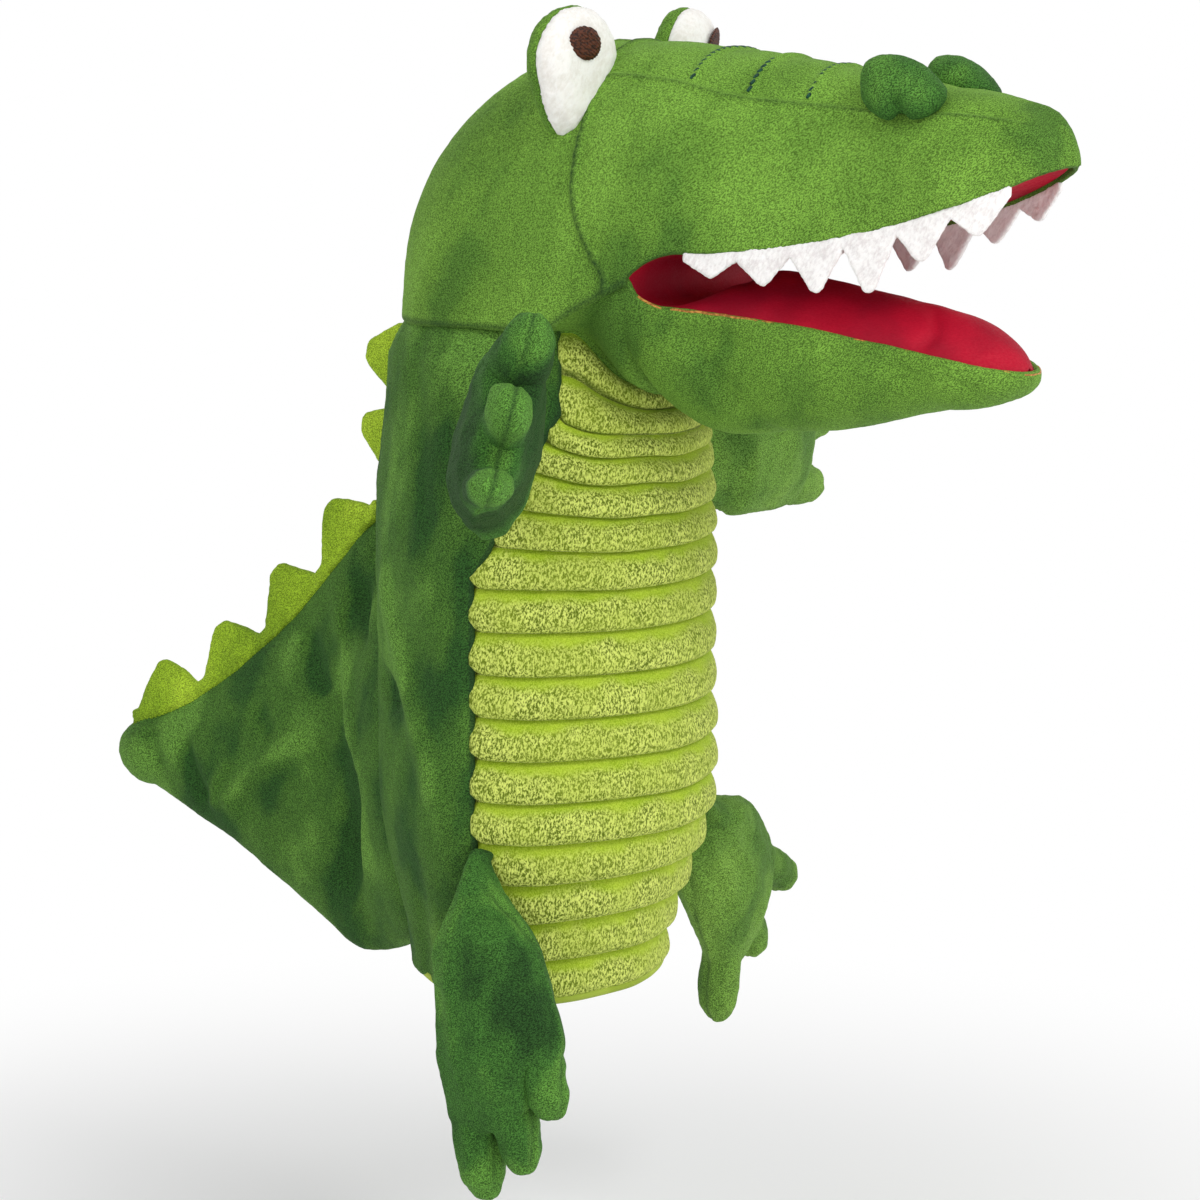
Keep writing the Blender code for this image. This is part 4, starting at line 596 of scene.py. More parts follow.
def sleeve_point(angle, z, inset=0):
    half_width, front, back = [size - inset for size in sleeve_size(z)]
    ahead = np.cos(angle) > 0
    x = np.where(ahead, half_width * np.sin(angle), half_width * bulge(np.sin(angle), BACK_POWER))
    y = np.where(ahead, -front * np.cos(angle), -back * bulge(np.cos(angle), BACK_POWER))
    return stack(x, y, z)


def sleeve_back_y(x, z):
    half_width, _, back = sleeve_size(z)
    return back * (1 - np.minimum(np.abs(x) / half_width, 1) ** BACK_POWER) ** (1 / BACK_POWER)


def collar_z(y):
    return mix(COLLAR_BACK_Z, COLLAR_FRONT_Z, ease((-y - 8) / 40))


def hem_lift(angles):
    """The hem rises a little behind, where the tail holds it."""
    return 2.8 * ease((-np.cos(angles) - 0.05) / 0.6)


def sleeve_grid(angles, shares, low, inset=0):
    """Rows of the sleeve from the hem to the collar, which dips in front."""
    shares = np.broadcast_to(shares[:, None], angles.shape)
    at_collar = sleeve_point(angles, np.full(angles.shape, COLLAR_FRONT_Z), inset)
    dip = COLLAR_BACK_Z - collar_z(at_collar[..., 1])
    sag = np.maximum(0, (shares - 0.6) / 0.4) ** 2
    z = mix(low + hem_lift(angles), COLLAR_BACK_Z, shares) - dip * sag
    return sleeve_point(angles, z, inset)


def side_seam(shares):
    """Angle of the seam between the belly and the back."""
    return mix(math.radians(80), math.radians(50), (np.maximum(0, shares - 0.68) / 0.32) ** 0.8)


def neck_seam_z(y):
    """Seam of the head and the sleeve, level behind and dipping under the chin."""
    dip = ease((-y - SEAM_LEVEL_AHEAD) / (NECK_FRONT - SEAM_LEVEL_AHEAD))
    return mix(NECK_SEAM_BACK_Z, NECK_SEAM_FRONT_Z, dip)


def neck_loop(angles, inset=0):
    depth = np.where(np.cos(angles) > 0, NECK_FRONT, NAPE_BACK) - inset
    y = -depth * np.cos(angles)
    return stack((NECK_HALF_WIDTH - inset) * np.sin(angles), y, neck_seam_z(y))


def above_collar(collar_row, angles, count):
    """Rows from the collar up to the neck seam."""
    shares = np.linspace(0, 1, count + 1)[1:]
    return mix(collar_row, neck_loop(angles), shares[:, None, None])


def make_sleeve_skin():
    shares = np.linspace(0, 1, 176)
    columns = 215
    edge = (side_seam(shares) + 0.2 / SLEEVE_FULL)[:, None]
    angles = edge + (2 * math.pi - 2 * edge) * np.linspace(0, 1, columns)
    grid = sleeve_grid(angles, shares, 1.5)
    tuck = [neck_loop(angles[-1], inset) + [0, 0, rise] for inset, rise in NECK_TUCK]
    grid = np.concatenate([grid, above_collar(grid[-1], angles[-1], 14), tuck])
    # the hem and the neck edge turn under, then the seams at the sides
    turned = rolled(grid.transpose(1, 0, 2), 1.1, 5, to_axis=True).transpose(1, 0, 2)
    grid = rolled(turned, 0.9, 3)
    piece = grid_object("sleeve_skin", grid, flip=True)
    points = points_of(piece)
    column = real_column(grid, columns)
    from_seam = np.maximum(np.minimum(column, columns - 1 - column), 0) * 1.05
    x, y, z = points.T
    turn = np.degrees(np.arctan2(np.abs(x), -y))
    fold = folds(points) * ease((45 - y) / 14)
    # slanting creases at the sides, by their angle round the sleeve in degrees
    fold += ease((55 - z) / 30) * groove(turn - 112 + 0.2 * (z - 30), 1.4, 6)
    fold += groove(turn - 100 - 0.25 * (z - 165), 1.2, 5) * ease((z - 130) / 30)
    fold += groove(turn - 150 + 0.3 * (z - 185), 1, 6) * ease((z - 160) / 20)
    dent = fold + groove(from_seam, 1, 2) + groove(z - NECK_SEAM_BACK_Z, 0.8, 3)
    outward = stack(x, y, 0) / np.hypot(x, y)[:, None]
    set_points(piece, points - outward * dent[:, None])
    nap(piece, 1, 0.14, 11)
    # random tone, paler towards the neck, and painted shade in a darker strip down the side near the arm
    tone_shift = 0.5 * soft_noise(points, 40, 12) - 0.6 * ease((z - 170) / 50)
    tone_shift += 0.5 * groove(turn - 85, 1, 14)
    # fold value: painted shade in the folds and creases, plus the tone above
    keep_values(piece, "fold", fold / 2.6 + tone_shift)
    # the side seams darken with thread and painted shade
    keep_values(piece, "seam", groove(from_seam, 0.9, 0.7))
    dress(piece, BODY_PLUSH, "green_plush", "back_panel_left", "back_panel_right", "neck_band")
    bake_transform(piece)


def make_belly_skin():
    """Quilted front: rounded rolls between seams, sagging like a smile under the chin."""
    per_rib = 16
    steps = (np.arange(per_rib) / per_rib) ** 1.3
    shares = np.append((np.arange(RIB_COUNT)[:, None] + steps).ravel(), RIB_COUNT) / RIB_COUNT
    edge = side_seam(shares) + 0.6 / SLEEVE_FULL
    across = np.linspace(-1, 1, 161)
    angles = edge[:, None] * across
    grid = sleeve_grid(angles, shares, 1)
    grid = np.concatenate([grid, above_collar(grid[-1], angles[-1], 2 * per_rib)])
    phase = np.concatenate([np.tile(steps, RIB_COUNT), [0], np.roll(np.tile(steps, 2), -1)])
    piece = grid_object("belly_skin", grid)
    phase = np.repeat(phase, len(across))
    from_side = np.tile((1 - np.abs(across)) * 78, len(grid))
    points = points_of(piece)
    # each rib is fullest low down, where it hangs over the one below
    ridge = np.maximum(np.sin(math.pi * phase ** 0.62), 0) ** 0.72
    uneven = 0.14 * soft_noise(points * [1, 1, 0.4], 15, 5)
    depth = 4.3 * (1 - ridge * (1 + uneven)) - 0.5 + groove(from_side, 1, 1.8)
    fluffy = ease((0.85 - phase) / 0.25) * ease(phase / 0.1)
    tufts = lumps(points * [1, 1, 0.5], 6, (0.16, 1.2)) + lumps(points, 7, (0.14, 3.2))
    push(piece, -depth + fluffy * tufts)
    points = points_of(piece)
    z = points[:, 2]
    sag = 2.2 * ridge * (1 - phase) ** 2 - lumps(points * [1, 1, 0.7], 8, (0.7, 24))
    sag -= ease((z - 140) / 30) * lumps(points, 9, (1.6, 19))
    inside = ease(from_side / 5) * ease((z - 6) / 8) * ease((205 - z) / 20)
    set_points(piece, points - stack(0, 0, sag * inside))
    # the seams between the ribs darken with thread and painted shade where each rib overlaps the next
    keep_values(piece, "seam", np.maximum(groove(phase, 0.9, 0.035), groove(phase - 1, 0.8, 0.02)))
    keep_values(piece, "rib", phase)
    thicken(piece, 2.2)
    dress(piece, VELOUR, "lime_velour", "belly_panel", "belly_batting")
    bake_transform(piece)


def make_sleeve_lining():
    """Lining of the hand hole, turned out a little under the hem."""
    angles = circle(150)
    hem = [sleeve_point(angles, z + hem_lift(angles), inset) for z, inset in HEM_ROLL]
    shares = np.linspace(0.04, 1, 60)
    inset = mix(6, 7.6, ease(shares * 5))[:, None]
    hole = sleeve_grid(np.tile(angles, (len(shares), 1)), shares, 4.3, inset)
    piece = grid_object("sleeve_lining", np.concatenate([hem, hole]), closed=True, flip=True)
    points = points_of(piece)
    turn = np.arctan2(points[:, 0], -points[:, 1])
    gathers = 0.5 * np.sin(turn * 23 + 3 * soft_noise(points, 30, 31))
    push(piece, gathers * ease((points[:, 2] - 6) / 20) + lumps(points, 32, (0.4, 12)))
    thicken(piece, 0.9, 0)
    dress(piece, LIME, "lime_lining", "hand_lining", "hem_band")
    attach(piece, "body")


# ---- head

def head_half_width(ahead):
    behind = HEAD_HALF_WIDTH * rounded_end(ahead / NAPE_BACK)
    taper = ease((ahead - 20) / (NOSE_AHEAD * 1.15 - 20))
    nose = rounded_end(past(ahead, NOSE_AHEAD, SNOUT_TIP_AHEAD))
    return np.where(ahead < 0, behind, mix(HEAD_HALF_WIDTH, NOSE_HALF_WIDTH, taper) * nose)


def head_top_z(ahead):
    dome = mix(NAPE_Z, CROWN_Z, rounded_end((CROWN_AHEAD - ahead) / (CROWN_AHEAD + NAPE_BACK)))
    slope = mix(CROWN_Z, NOSE_Z, past(ahead, CROWN_AHEAD, NOSE_AHEAD) ** 1.4)
    nose = mix(SNOUT_TIP_Z, NOSE_Z, rounded_end(past(ahead, NOSE_AHEAD, SNOUT_TIP_AHEAD)))
    return np.where(ahead < CROWN_AHEAD, dome, np.where(ahead < NOSE_AHEAD, slope, nose))


def upper_lip_z(ahead):
    share = (ahead - LIP_STRAIGHT_AHEAD) / (SNOUT_TIP_AHEAD - LIP_STRAIGHT_AHEAD)
    corner = np.maximum((LIP_STRAIGHT_AHEAD - ahead) / (LIP_STRAIGHT_AHEAD - HINGE_AHEAD), 0)
    return UPPER_LIP_Z + UPPER_LIP_RISE * share ** 2 - UPPER_LIP_DROP * corner ** 2


def cheek_seam_z(ahead):
    """Seam from the corner of the mouth back to the neck seam."""
    return mix(NECK_SEAM_BACK_Z, HINGE_Z + 0.5, past(ahead, SEAM_LEVEL_AHEAD, HINGE_AHEAD) ** 0.8)


def head_base_z(ahead):
    return np.where(ahead < HINGE_AHEAD, cheek_seam_z(ahead), upper_lip_z(ahead))


def head_point(ahead, turn, inset=0):
    power = mix(2, 2.5, ease(ahead / LIP_STRAIGHT_AHEAD))
    width = np.maximum(head_half_width(ahead) - inset, 0)
    base = head_base_z(ahead)
    height = head_top_z(ahead) - inset - base
    return stack(width * bulge(np.cos(turn), power), -ahead, base + height * bulge(np.sin(turn), power))


def seam_ahead(z):
    """The seam of the skull and the snout runs down from the eyes and curves forward to the cheek."""
    low = np.clip((262 - z) / 30, 0, 1)
    return HEAD_SEAM_AHEAD + 13 * low ** 1.8


def top_seam_turn(ahead):
    """The seam between the top and the side of the snout sinks a little towards the nose."""
    return mix(math.radians(58), math.radians(47), ease((ahead - HEAD_SEAM_AHEAD) / 55))


def thread_marks(place):
    return 0.75 + 0.25 * np.sin(place / 0.42)


def head_seams(x, out, z, turn, half):
    """Depth and darkness of the head's seams and of the three stitched lines; the darkness is thread marks
    and painted shade in the seam grooves.
    """
    cheek = out - seam_ahead(z)
    dent = sewn(cheek, 1.2, 1, 0.7, 6) + groove(cheek, 0.2, 3) * np.sin(z / 0.8)
    dark = groove(cheek, 1.2, 0.7) * thread_marks(z)
    # between the snout's top and its sides
    above = np.minimum(turn, math.pi - turn) - top_seam_turn(out)
    top = above * half * 1.15
    front = ease((out - HEAD_SEAM_AHEAD) / 4) * ease((176 - out) / 12)
    dent += front * sewn(top, 0.9, 1.1, 0.4, 5)
    dark = np.maximum(dark, front * groove(top, 0.75, 0.6) * thread_marks(out))
    # down the back of the head
    back = (1 - ease((out - 30) / 8)) * ease((z - 240) / 30)
    dent += back * sewn(x, 0.9, 1, 0.4, 5)
    dark = np.maximum(dark, back * groove(x, 0.7, 0.6))
    # round the neck and the cheeks
    base = z - head_base_z(out)
    edge = 0.8 * ease((3.2 - np.abs(base)) / 2) * (out < HINGE_AHEAD)
    # a dark line along the head's lower edge: thread and painted shade
    dark = np.maximum(dark, edge * groove(base, 1, 1.2))
    for place in STITCH_LINES:
        dent += ease((above - 0.02) / 0.06) * sewn(out - place, 1.3, 1.3, 0.6, 5)
    return dent, dark


def make_head_skin():
    behind = -NAPE_BACK * np.cos(np.linspace(0.003, math.pi / 2, 46))
    ahead = np.concatenate([behind, to_tip(0, NOSE_AHEAD, SNOUT_TIP_AHEAD, 236, 46)[1:]])
    columns = 221
    turns = np.linspace(0, 1, columns)
    turns = math.pi * mix(turns, ease(turns), 0.35)
    grid = rolled(head_point(ahead[:, None], turns), 1.2, 5)
    piece = grid_object("head_skin", grid, flip=True)
    points = points_of(piece)
    x, y, z = points.T
    out = -y
    column = real_column(grid, columns)
    skin = (column >= 0) & (column < columns)
    half = np.maximum(head_half_width(out), 6)
    dent, dark = head_seams(x, out, z, turns[np.clip(column, 0, columns - 1)], half)
    # dents of the stuffing: over the mouth, behind the nose, and at the tip
    dent += spot(out, z, 1.4, 150, 9, 262, 12) * ease(np.abs(x) / half * 1.4)
    dent += sum(spot(out, z, *place) for place in SNOUT_DENTS)
    dent += groove(x, 1.8, 4) * ease((out - 160) / 20)
    push(piece, np.where(skin, -dent, 0))
    nap(piece, 0.7, 0.1, 21)
    # the seams darken with thread and painted shade, and the rolled-under edges with painted shade
    keep_values(piece, "seam", np.where(skin, dark, 0.5))
    # random tone, a painted highlight on the top of the head, and painted shade in two dents of the
    # stuffing
    tone_shift = 0.7 * soft_noise(points * [1, 1, 0.6], 36, 22) - 0.5 * ease((z - 272) / 20)
    tone_shift += spot(out, z, 0.8, 172, 8, 276, 8) + spot(out, z, 0.6, 62, 8, 268, 12)
    keep_values(piece, "fold", tone_shift)
    dress(piece, HEAD_PLUSH, "green_plush", "skull_panel_left", "skull_panel_right", "snout_side_left",
          "snout_side_right", "snout_top_panel", "skull_filling", "snout_filling")
    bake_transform(piece)


def make_snout_stitches():
    """Three rows of short, rounded stitches across the snout's top."""
    stitches = []
    slant = np.array([0, 0.35, 0])
    for place in STITCH_LINES:
        first = float(top_seam_turn(place)) + 0.05
        path = head_point(np.full(21, place), np.linspace(first, math.pi - first, 21), -0.25)
        for a, b in zip(path[:-1], path[1:]):
            gap = (b - a) * 0.1 - slant
            line = mix(a + gap, b - gap, STITCH_SHARES[:, None])
            stitches.append(rings(line, STITCH_RADII, up=(0.3, 0.5, 0.8)))
    rows, around = stitches[0].shape[:2]
    faces = []
    for k in range(len(stitches)):
        faces += grid_faces(rows, around, k * rows * around, closed=True)
    piece = mesh_object("snout_stitches", np.concatenate(stitches).reshape(-1, 3), faces)
    mend(piece)
    dress(piece, TEAL, "deep_green_plush")
    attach(piece, "head")


# ---- jaw and mouth

def jaw_half_width(ahead):
    inset = mix(1.2, 5, ease((ahead - HINGE_AHEAD) / 30))
    width = head_half_width(np.minimum(ahead, JAW_NOSE_AHEAD)) - inset
    return width * rounded_end(past(ahead, JAW_NOSE_AHEAD, JAW_TIP_AHEAD))


def lower_lip_z(ahead):
    share = np.maximum(ahead - LOWER_LIP_AHEAD, 0) / (JAW_TIP_AHEAD - LOWER_LIP_AHEAD)
    corner = np.maximum((LOWER_LIP_AHEAD - ahead) / (LOWER_LIP_AHEAD - HINGE_AHEAD), 0)
    return mix(LOWER_LIP_Z, JAW_TIP_Z, share ** 1.3) + (HINGE_Z - 1.6 - LOWER_LIP_Z) * corner ** 2


def chin_z(ahead):
    rise = CHIN_RISE * ((ahead - HINGE_AHEAD) / (JAW_NOSE_AHEAD - HINGE_AHEAD)) ** 2
    low = CHIN_Z + rise + (200 - CHIN_Z) * (np.maximum(82 - ahead, 0) / 25) ** 2
    share = rounded_end(past(ahead, JAW_NOSE_AHEAD, JAW_TIP_AHEAD))
    return np.where(ahead > JAW_NOSE_AHEAD, mix(JAW_TIP_Z, CHIN_Z + CHIN_RISE, share), low)


def jaw_point(ahead, turn):
    """A ring of the chin, from lip to lip, leaning back near the hinge."""
    lip = lower_lip_z(ahead)
    x = jaw_half_width(ahead) * bulge(np.cos(turn), 2.4)
    z = lip + (chin_z(ahead) - lip) * bulge(np.sin(turn), 2.4)
    reach = ease(1 - (ahead - HINGE_AHEAD) / (JAW_NOSE_AHEAD - HINGE_AHEAD) * 1.6)
    return stack(x, -ahead - (z - HINGE_Z) * math.tan(math.radians(11)) * reach, z)


def jaw_mesh():
    """The chin's front, and the cheeks behind it that go in to the neck seam and down inside the sleeve."""
    stations = to_tip(HINGE_AHEAD, JAW_NOSE_AHEAD, JAW_TIP_AHEAD, 84, 40)
    columns, seam_columns = 121, 22
    turns = np.linspace(0, math.pi, columns)
    front = jaw_point(stations[:, None], turns)
    # at the corners of the mouth the lip runs up under the cheek
    corner = ease((HINGE_AHEAD + 4 - stations) / 4)[:, None]
    front[..., 2] += 2 * corner * ease((np.abs(turns - math.pi / 2) - 1.32) / 0.2)
    ahead = np.linspace(SEAM_LEVEL_AHEAD - 4, HINGE_AHEAD, seam_columns + 1)[:-1]
    seam = stack(head_half_width(ahead) - 0.9, -ahead, cheek_seam_z(ahead) + 2)
    mirrored = (seam * [-1, 1, 1])[::-1]
    outer = np.concatenate([seam, front[0], mirrored])
    first = math.acos((SEAM_LEVEL_AHEAD - 6) / NECK_FRONT)
    inner = neck_loop(np.linspace(first, -first, len(outer)), 1.5) - [0, 0, 1.5]
    rear = [inner - [0, 0, 11], inner - [0, 0, 6]]
    for share in np.linspace(0, 1, 15)[:-1]:
        row = mix(inner, outer, share)
        away = row[:, [0, 2]] - [0, 224]
        away /= np.linalg.norm(away, axis=1)[:, None]
        swell = 5 * math.sin(math.pi * share)
        rear.append(row + stack(swell * away[:, 0], -0.2 * swell, swell * np.minimum(away[:, 1], 0.2)))
    front = rolled(front, 1.1, 4)
    rows, wide = front.shape[:2]
    # the last rear row joins the first ring, and beside it the cheek seams
    last = (len(rear) - 1) * len(outer)
    front_start = len(rear) * len(outer)
    seam_start = front_start + rows * wide
    faces = grid_faces(len(rear), len(outer)) + grid_faces(rows, wide, front_start)
    faces += strip(last + seam_columns, front_start + (wide - columns) // 2, columns)
    faces += strip(last, seam_start, seam_columns)
    faces += strip(last + seam_columns + columns, seam_start + seam_columns, seam_columns)
    return np.concatenate(rear + [front.reshape(-1, 3), seam, mirrored]), faces


def make_jaw_skin():
    piece = mesh_object("jaw_skin", *jaw_mesh())
    mend(piece)
    face_outward(piece)
    x, y, z = points_of(piece).T
    out = -y
    side = np.abs(x) / np.maximum(jaw_half_width(out), 8)
    under = lower_lip_z(out) - z
    below = ease((under - 2) / 4) * ease((out - 48) / 12)
    dent = sum(spot(out, z, *place) for place in CHIN_DENTS) + spot(out, under, 1.5, 140, 6, 6, 5)
    dent += groove(out - 152 - under, 1, 3) * ease(side * 1.3)
    dent += groove(out - 70 - 0.6 * under, 0.9, 4)
    push(piece, -dent * below)
    nap(piece, 0.7, 0.1, 41)
    dress(piece, HEAD_PLUSH, "green_plush", "chin_panel", "chin_filling", "cheek_gusset_left",
          "cheek_gusset_right")
    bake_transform(piece)


def make_mouth_lining():
    """Red lining, one sheet from the snout's tip over the fold to the tip of the jaw."""
    across = np.linspace(-1, 1, 61)
    crown = 1 - across ** 2
    fold_ahead = HINGE_AHEAD + 4
    # the roof of the mouth
    ahead = to_tip(fold_ahead, NOSE_AHEAD, SNOUT_TIP_AHEAD, 62, 30, 1.42)[::-1, None]
    half = np.maximum(head_half_width(ahead) - 2.2, 0.4)
    rise = 2.4 * ease((ahead - HINGE_AHEAD) / 17)
    roof = stack(half * across, 2 * past(ahead, NOSE_AHEAD, SNOUT_TIP_AHEAD) - ahead,
                 upper_lip_z(ahead) + 0.6 + rise * crown)
    # the fold at the hinge
    turn = np.linspace(0.15, math.pi - 0.15, 10)[:, None]
    first, last = upper_lip_z(fold_ahead) + 0.6, lower_lip_z(fold_ahead) - 0.4
    half = head_half_width(HINGE_AHEAD) - 2.6
    fold = stack(half * across, 5 * np.sin(turn) - fold_ahead,
                 (first + last) / 2 + (first - last) / 2 * np.cos(turn))
    # the puffed floor
    ahead = to_tip(fold_ahead, JAW_NOSE_AHEAD, JAW_TIP_AHEAD, 62, 30, 1.42)[:, None]
    half = np.maximum(jaw_half_width(ahead) - 1.4, 0.4)
    puff = 13 * ease((ahead - HINGE_AHEAD) / (PUFF_AHEAD - HINGE_AHEAD))
    puff *= rounded_end(np.maximum(0, (ahead - 148) / 24.3))
    floor = stack(half * across, 1.4 * past(ahead, JAW_NOSE_AHEAD, JAW_TIP_AHEAD) - ahead,
                  lower_lip_z(ahead) - 0.7 + puff * crown ** 0.8)
    grid = np.concatenate([roof, fold, floor])
    piece = grid_object("mouth_lining", grid, flip=True)
    points = points_of(piece)
    x, y, z = points.T
    out = -y
    low = ease((HINGE_Z - z) / 3)
    dent = low * groove(out - 146 + 0.5 * np.abs(x + 14), 1.2, 2.2)
    dent *= ease(-x / 10)
    dent += low * groove(out - 72 - 0.35 * x, 1, 5)
    dent += (1 - low) * groove(out - 76 + 0.3 * x, 1.2, 4)
    inside = np.tile(ease((1 - np.abs(across)) / 0.15), len(grid))
    push(piece, (lumps(points, 51, (0.5, 17), (0.2, 6)) - dent) * inside)
    thicken(piece, 1)
    dress(piece, RED, "red_lining", "upper_palate", "lower_palate", "mouth_fold", "upper_mouth_board",
          "lower_mouth_board")
    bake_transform(piece)


def make_lip_seam():
    """The cut edge of the plush shows as a thin line round the lower lip."""
    ahead = to_tip(HINGE_AHEAD + 3, JAW_NOSE_AHEAD, JAW_TIP_AHEAD, 70, 36, 1.5)
    half = jaw_half_width(ahead) - 0.8
    wave = 0.15 * np.sin(ahead / 1.1)
    right = stack(-half, -ahead, lower_lip_z(ahead) + 0.45 + wave)[half > 1.5]
    path = np.concatenate([right, (right * [-1, 1, 1])[::-1][1:]])
    grid = rings(path, 0.42)
    rows, around = grid.shape[:2]
    ends = [list(range(around))[::-1], list(range((rows - 1) * around, rows * around))]
    piece = mesh_object("lower_lip_seam", grid.reshape(-1, 3), grid_faces(rows, around, closed=True) + ends)
    mend(piece)
    dress(piece, ORANGE, "lime_lining")
    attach(piece, "lower_jaw")


# ---- tail and crest

def tail_point(share, turn):
    """A ring of the tail, tall and flat, that rises towards the tip."""
    top = mix(140, 66, 1 - (1 - np.minimum(share, 1)) ** 1.7)
    rise = (share - 0.06) / 0.79
    rise = np.clip(0.5 * (rise + np.sqrt(rise ** 2 + 0.004)), 0, 1)
    bottom = mix(-5, 43, rise ** 0.75)
    close = rounded_end(np.clip((share - 0.85) / 0.152, 0, 1))
    half_width = mix(17, 7, share) * np.maximum(close, 0.12)
    return stack(half_width * np.sin(turn), TAIL_ROOT + TAIL_LENGTH * share,
                 (top + bottom) / 2 + (top - bottom) / 2 * close * bulge(np.cos(turn), BACK_POWER))


def make_tail_skin():
    """Two flat panels, and the gusset that spreads from them into the sleeve's back."""
    columns = 150
    turns = circle(columns)
    root = tail_point(0, turns)
    height = (root[:, 2] + 5) / 145
    wide = mix(mix(2.7, 2.1, ease(height / 0.3)), 0.7, ease((height - 0.7) / 0.22))
    step = np.linspace(0, 1, 26)[:-1, None]
    x = root[:, 0] * mix(wide, 1, ease(step * 1.1))
    z = root[:, 2] + (1 - step) * 13 * height + (1 - step) ** 1.6 * 9 * (1 - height)
    start = sleeve_back_y(x, np.clip(z, 0, 200)) - 3
    gusset = stack(x, mix(start, TAIL_ROOT, step), z)
    panels = tail_point(to_tip(0, 0.85, 1, 78, 24, math.pi / 2)[:, None], turns)
    grid = np.concatenate([gusset, panels])
    faces = grid_faces(len(grid), columns, closed=True)
    faces.append(list(range((len(grid) - 1) * columns, len(grid) * columns)))
    piece = mesh_object("tail_skin", grid.reshape(-1, 3), faces)
    mend(piece)
    face_outward(piece)
    points = points_of(piece)
    x, y, z = points.T
    share = (y - TAIL_ROOT) / TAIL_LENGTH
    fold = folds(points) * ease(np.abs(x) / 5) * ease((y - 52) / 10)
    middle = np.interp(y, [TAIL_ROOT, TAIL_ROOT + TAIL_LENGTH], [70, 56])
    seam = np.where(z > middle, math.inf, np.abs(x))
    push(piece, -fold - groove(seam, 0.7, 1.4))
    nap(piece, 0.9, 0.12, 61)
    # random tone, paler towards the tip
    tone_shift = 0.6 * soft_noise(points, 24, 63) - 0.5 * ease((share - 0.5) / 0.3)
    # fold value: painted shade in the folds, plus the tone above
    keep_values(piece, "fold", fold / 2.6 + tone_shift)
    # the lower seam darkens with thread and painted shade
    keep_values(piece, "seam", 0.8 * groove(seam, 1, 0.7))
    dress(piece, BODY_PLUSH, "green_plush", "tail_panel_left", "tail_panel_right", "tail_filling",
          "tail_gusset")
    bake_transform(piece)


def make_crest(name, node, body, seed):
    """Spikes of plush, sunk into the seam they are sewn in."""
    piece = soft_copy(name, node, 0.7, 6)
    ridge = points_of(piece)[:, 1:]
    along = np.linalg.svd((ridge - ridge.mean(axis=0))[::5], full_matrices=False)[2][0]
    outward = np.array([0, abs(along[1]), abs(along[0])])
    push(piece, 2.6 * ease((-(normals_of(piece) @ outward) - 0.3) / 0.5))
    push(piece, 0.35 + lumps(points_of(piece), seed, (0.16, 1.4), (0.4, 7)))
    dress(piece, CREST_PLUSH, "lime_plush", node)
    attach(piece, body)


# ---- teeth, nostrils, eyes

def make_teeth(name, node, curl):
    """A cut felt strip, whose teeth curl inward where curl is more than 0."""
    piece = soft_copy(name, node, 0.4, 4)
    points = points_of(piece)
    hang = np.maximum(upper_lip_z(-points[:, 1]) - points[:, 2], 0)
    points[:, 0] -= np.sign(points[:, 0]) * curl * hang ** 2 / 60
    points[:, 2] += 0.5 * curl * hang
    set_points(piece, points)
    push(piece, 0.25 + lumps(points, 121, (0.14, 1.1), (0.2, 3.2)))
    dress(piece, FELT, "white_felt", node)
    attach(piece, "head")


def make_nostril(name, node, side):
    """Ear-shaped: highest behind, gathered by a stitch at its foot."""
    low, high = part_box(node)
    centre = (np.array(low) + np.array(high)) / 2 / MM
    piece = soft_copy(name, node, 0.8, 6)
    rel = (points_of(piece) - centre) * [0.96, 0.92, 0.95]
    rel[:, 2] += ease((rel[:, 2] + 3) / 10) * 0.24 * rel[:, 1]
    points = centre + rel
    set_points(piece, points)
    pinch = groove(rel[:, 1] + 1.5, 3, 2.4) * ease(side * rel[:, 0] / 5 + 0.6)
    pinch = pinch * ease((1 - rel[:, 2]) / 6)
    push(piece, 0.5 - pinch + lumps(points, 71, (0.35, 6), (0.12, 1.4)))
    dress(piece, LIMB_PLUSH, "deep_green_plush", node)
    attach(piece, "head")


def make_eye(label):
    """A green pad behind a white one, and a stitched pupil that leans outward over its curve."""
    back = soft_copy("eye_rim_" + label, "eye_back_" + label, 0.7, 5)
    push(back, 0.45 + lumps(points_of(back), 81, (0.2, 1.3), (0.25, 5)))
    dress(back, HEAD_PLUSH, "green_plush", "eye_back_" + label)
    front = soft_copy("eye_white_" + label, "eye_front_" + label, 0.6, 6)
    push(front, 0.3 + lumps(points_of(front), 83, (0.12, 1.2), (0.3, 8)))
    dress(front, WHITE, "white_plush", "eye_front_" + label)
    pupil = soft_copy("pupil_stitching_" + label, "pupil_" + label, 0.25, 4)
    points = points_of(pupil)
    low, high = np.array(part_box("eye_front_" + label)) / MM
    pad, middle = (low[0] + high[0]) / 2, points.mean(axis=0)
    across, up = 1.1 * (points[:, 0] - middle[0]), 0.84 * (points[:, 2] - middle[2])
    outward = np.sign(middle[0])
    reach = (high[0] - low[0]) / 2 * 1.1
    before = rounded_end((points[:, 0] - pad) / reach)
    points[:, 0] = middle[0] + outward * 3.6 + across + outward * 0.25 * up
    points[:, 2] = middle[2] + 0.8 + up
    points[:, 1] += (high[1] - low[1]) * (before - rounded_end((points[:, 0] - pad) / reach))
    set_points(pupil, points)
    push(pupil, 0.1 * np.sin((points[:, 2] + 0.6 * points[:, 0]) / 0.16))
    dress(pupil, BROWN, "brown_thread", "pupil_" + label)
    for piece in (back, front, pupil):
        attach(piece, "head")


# ---- limbs and pockets

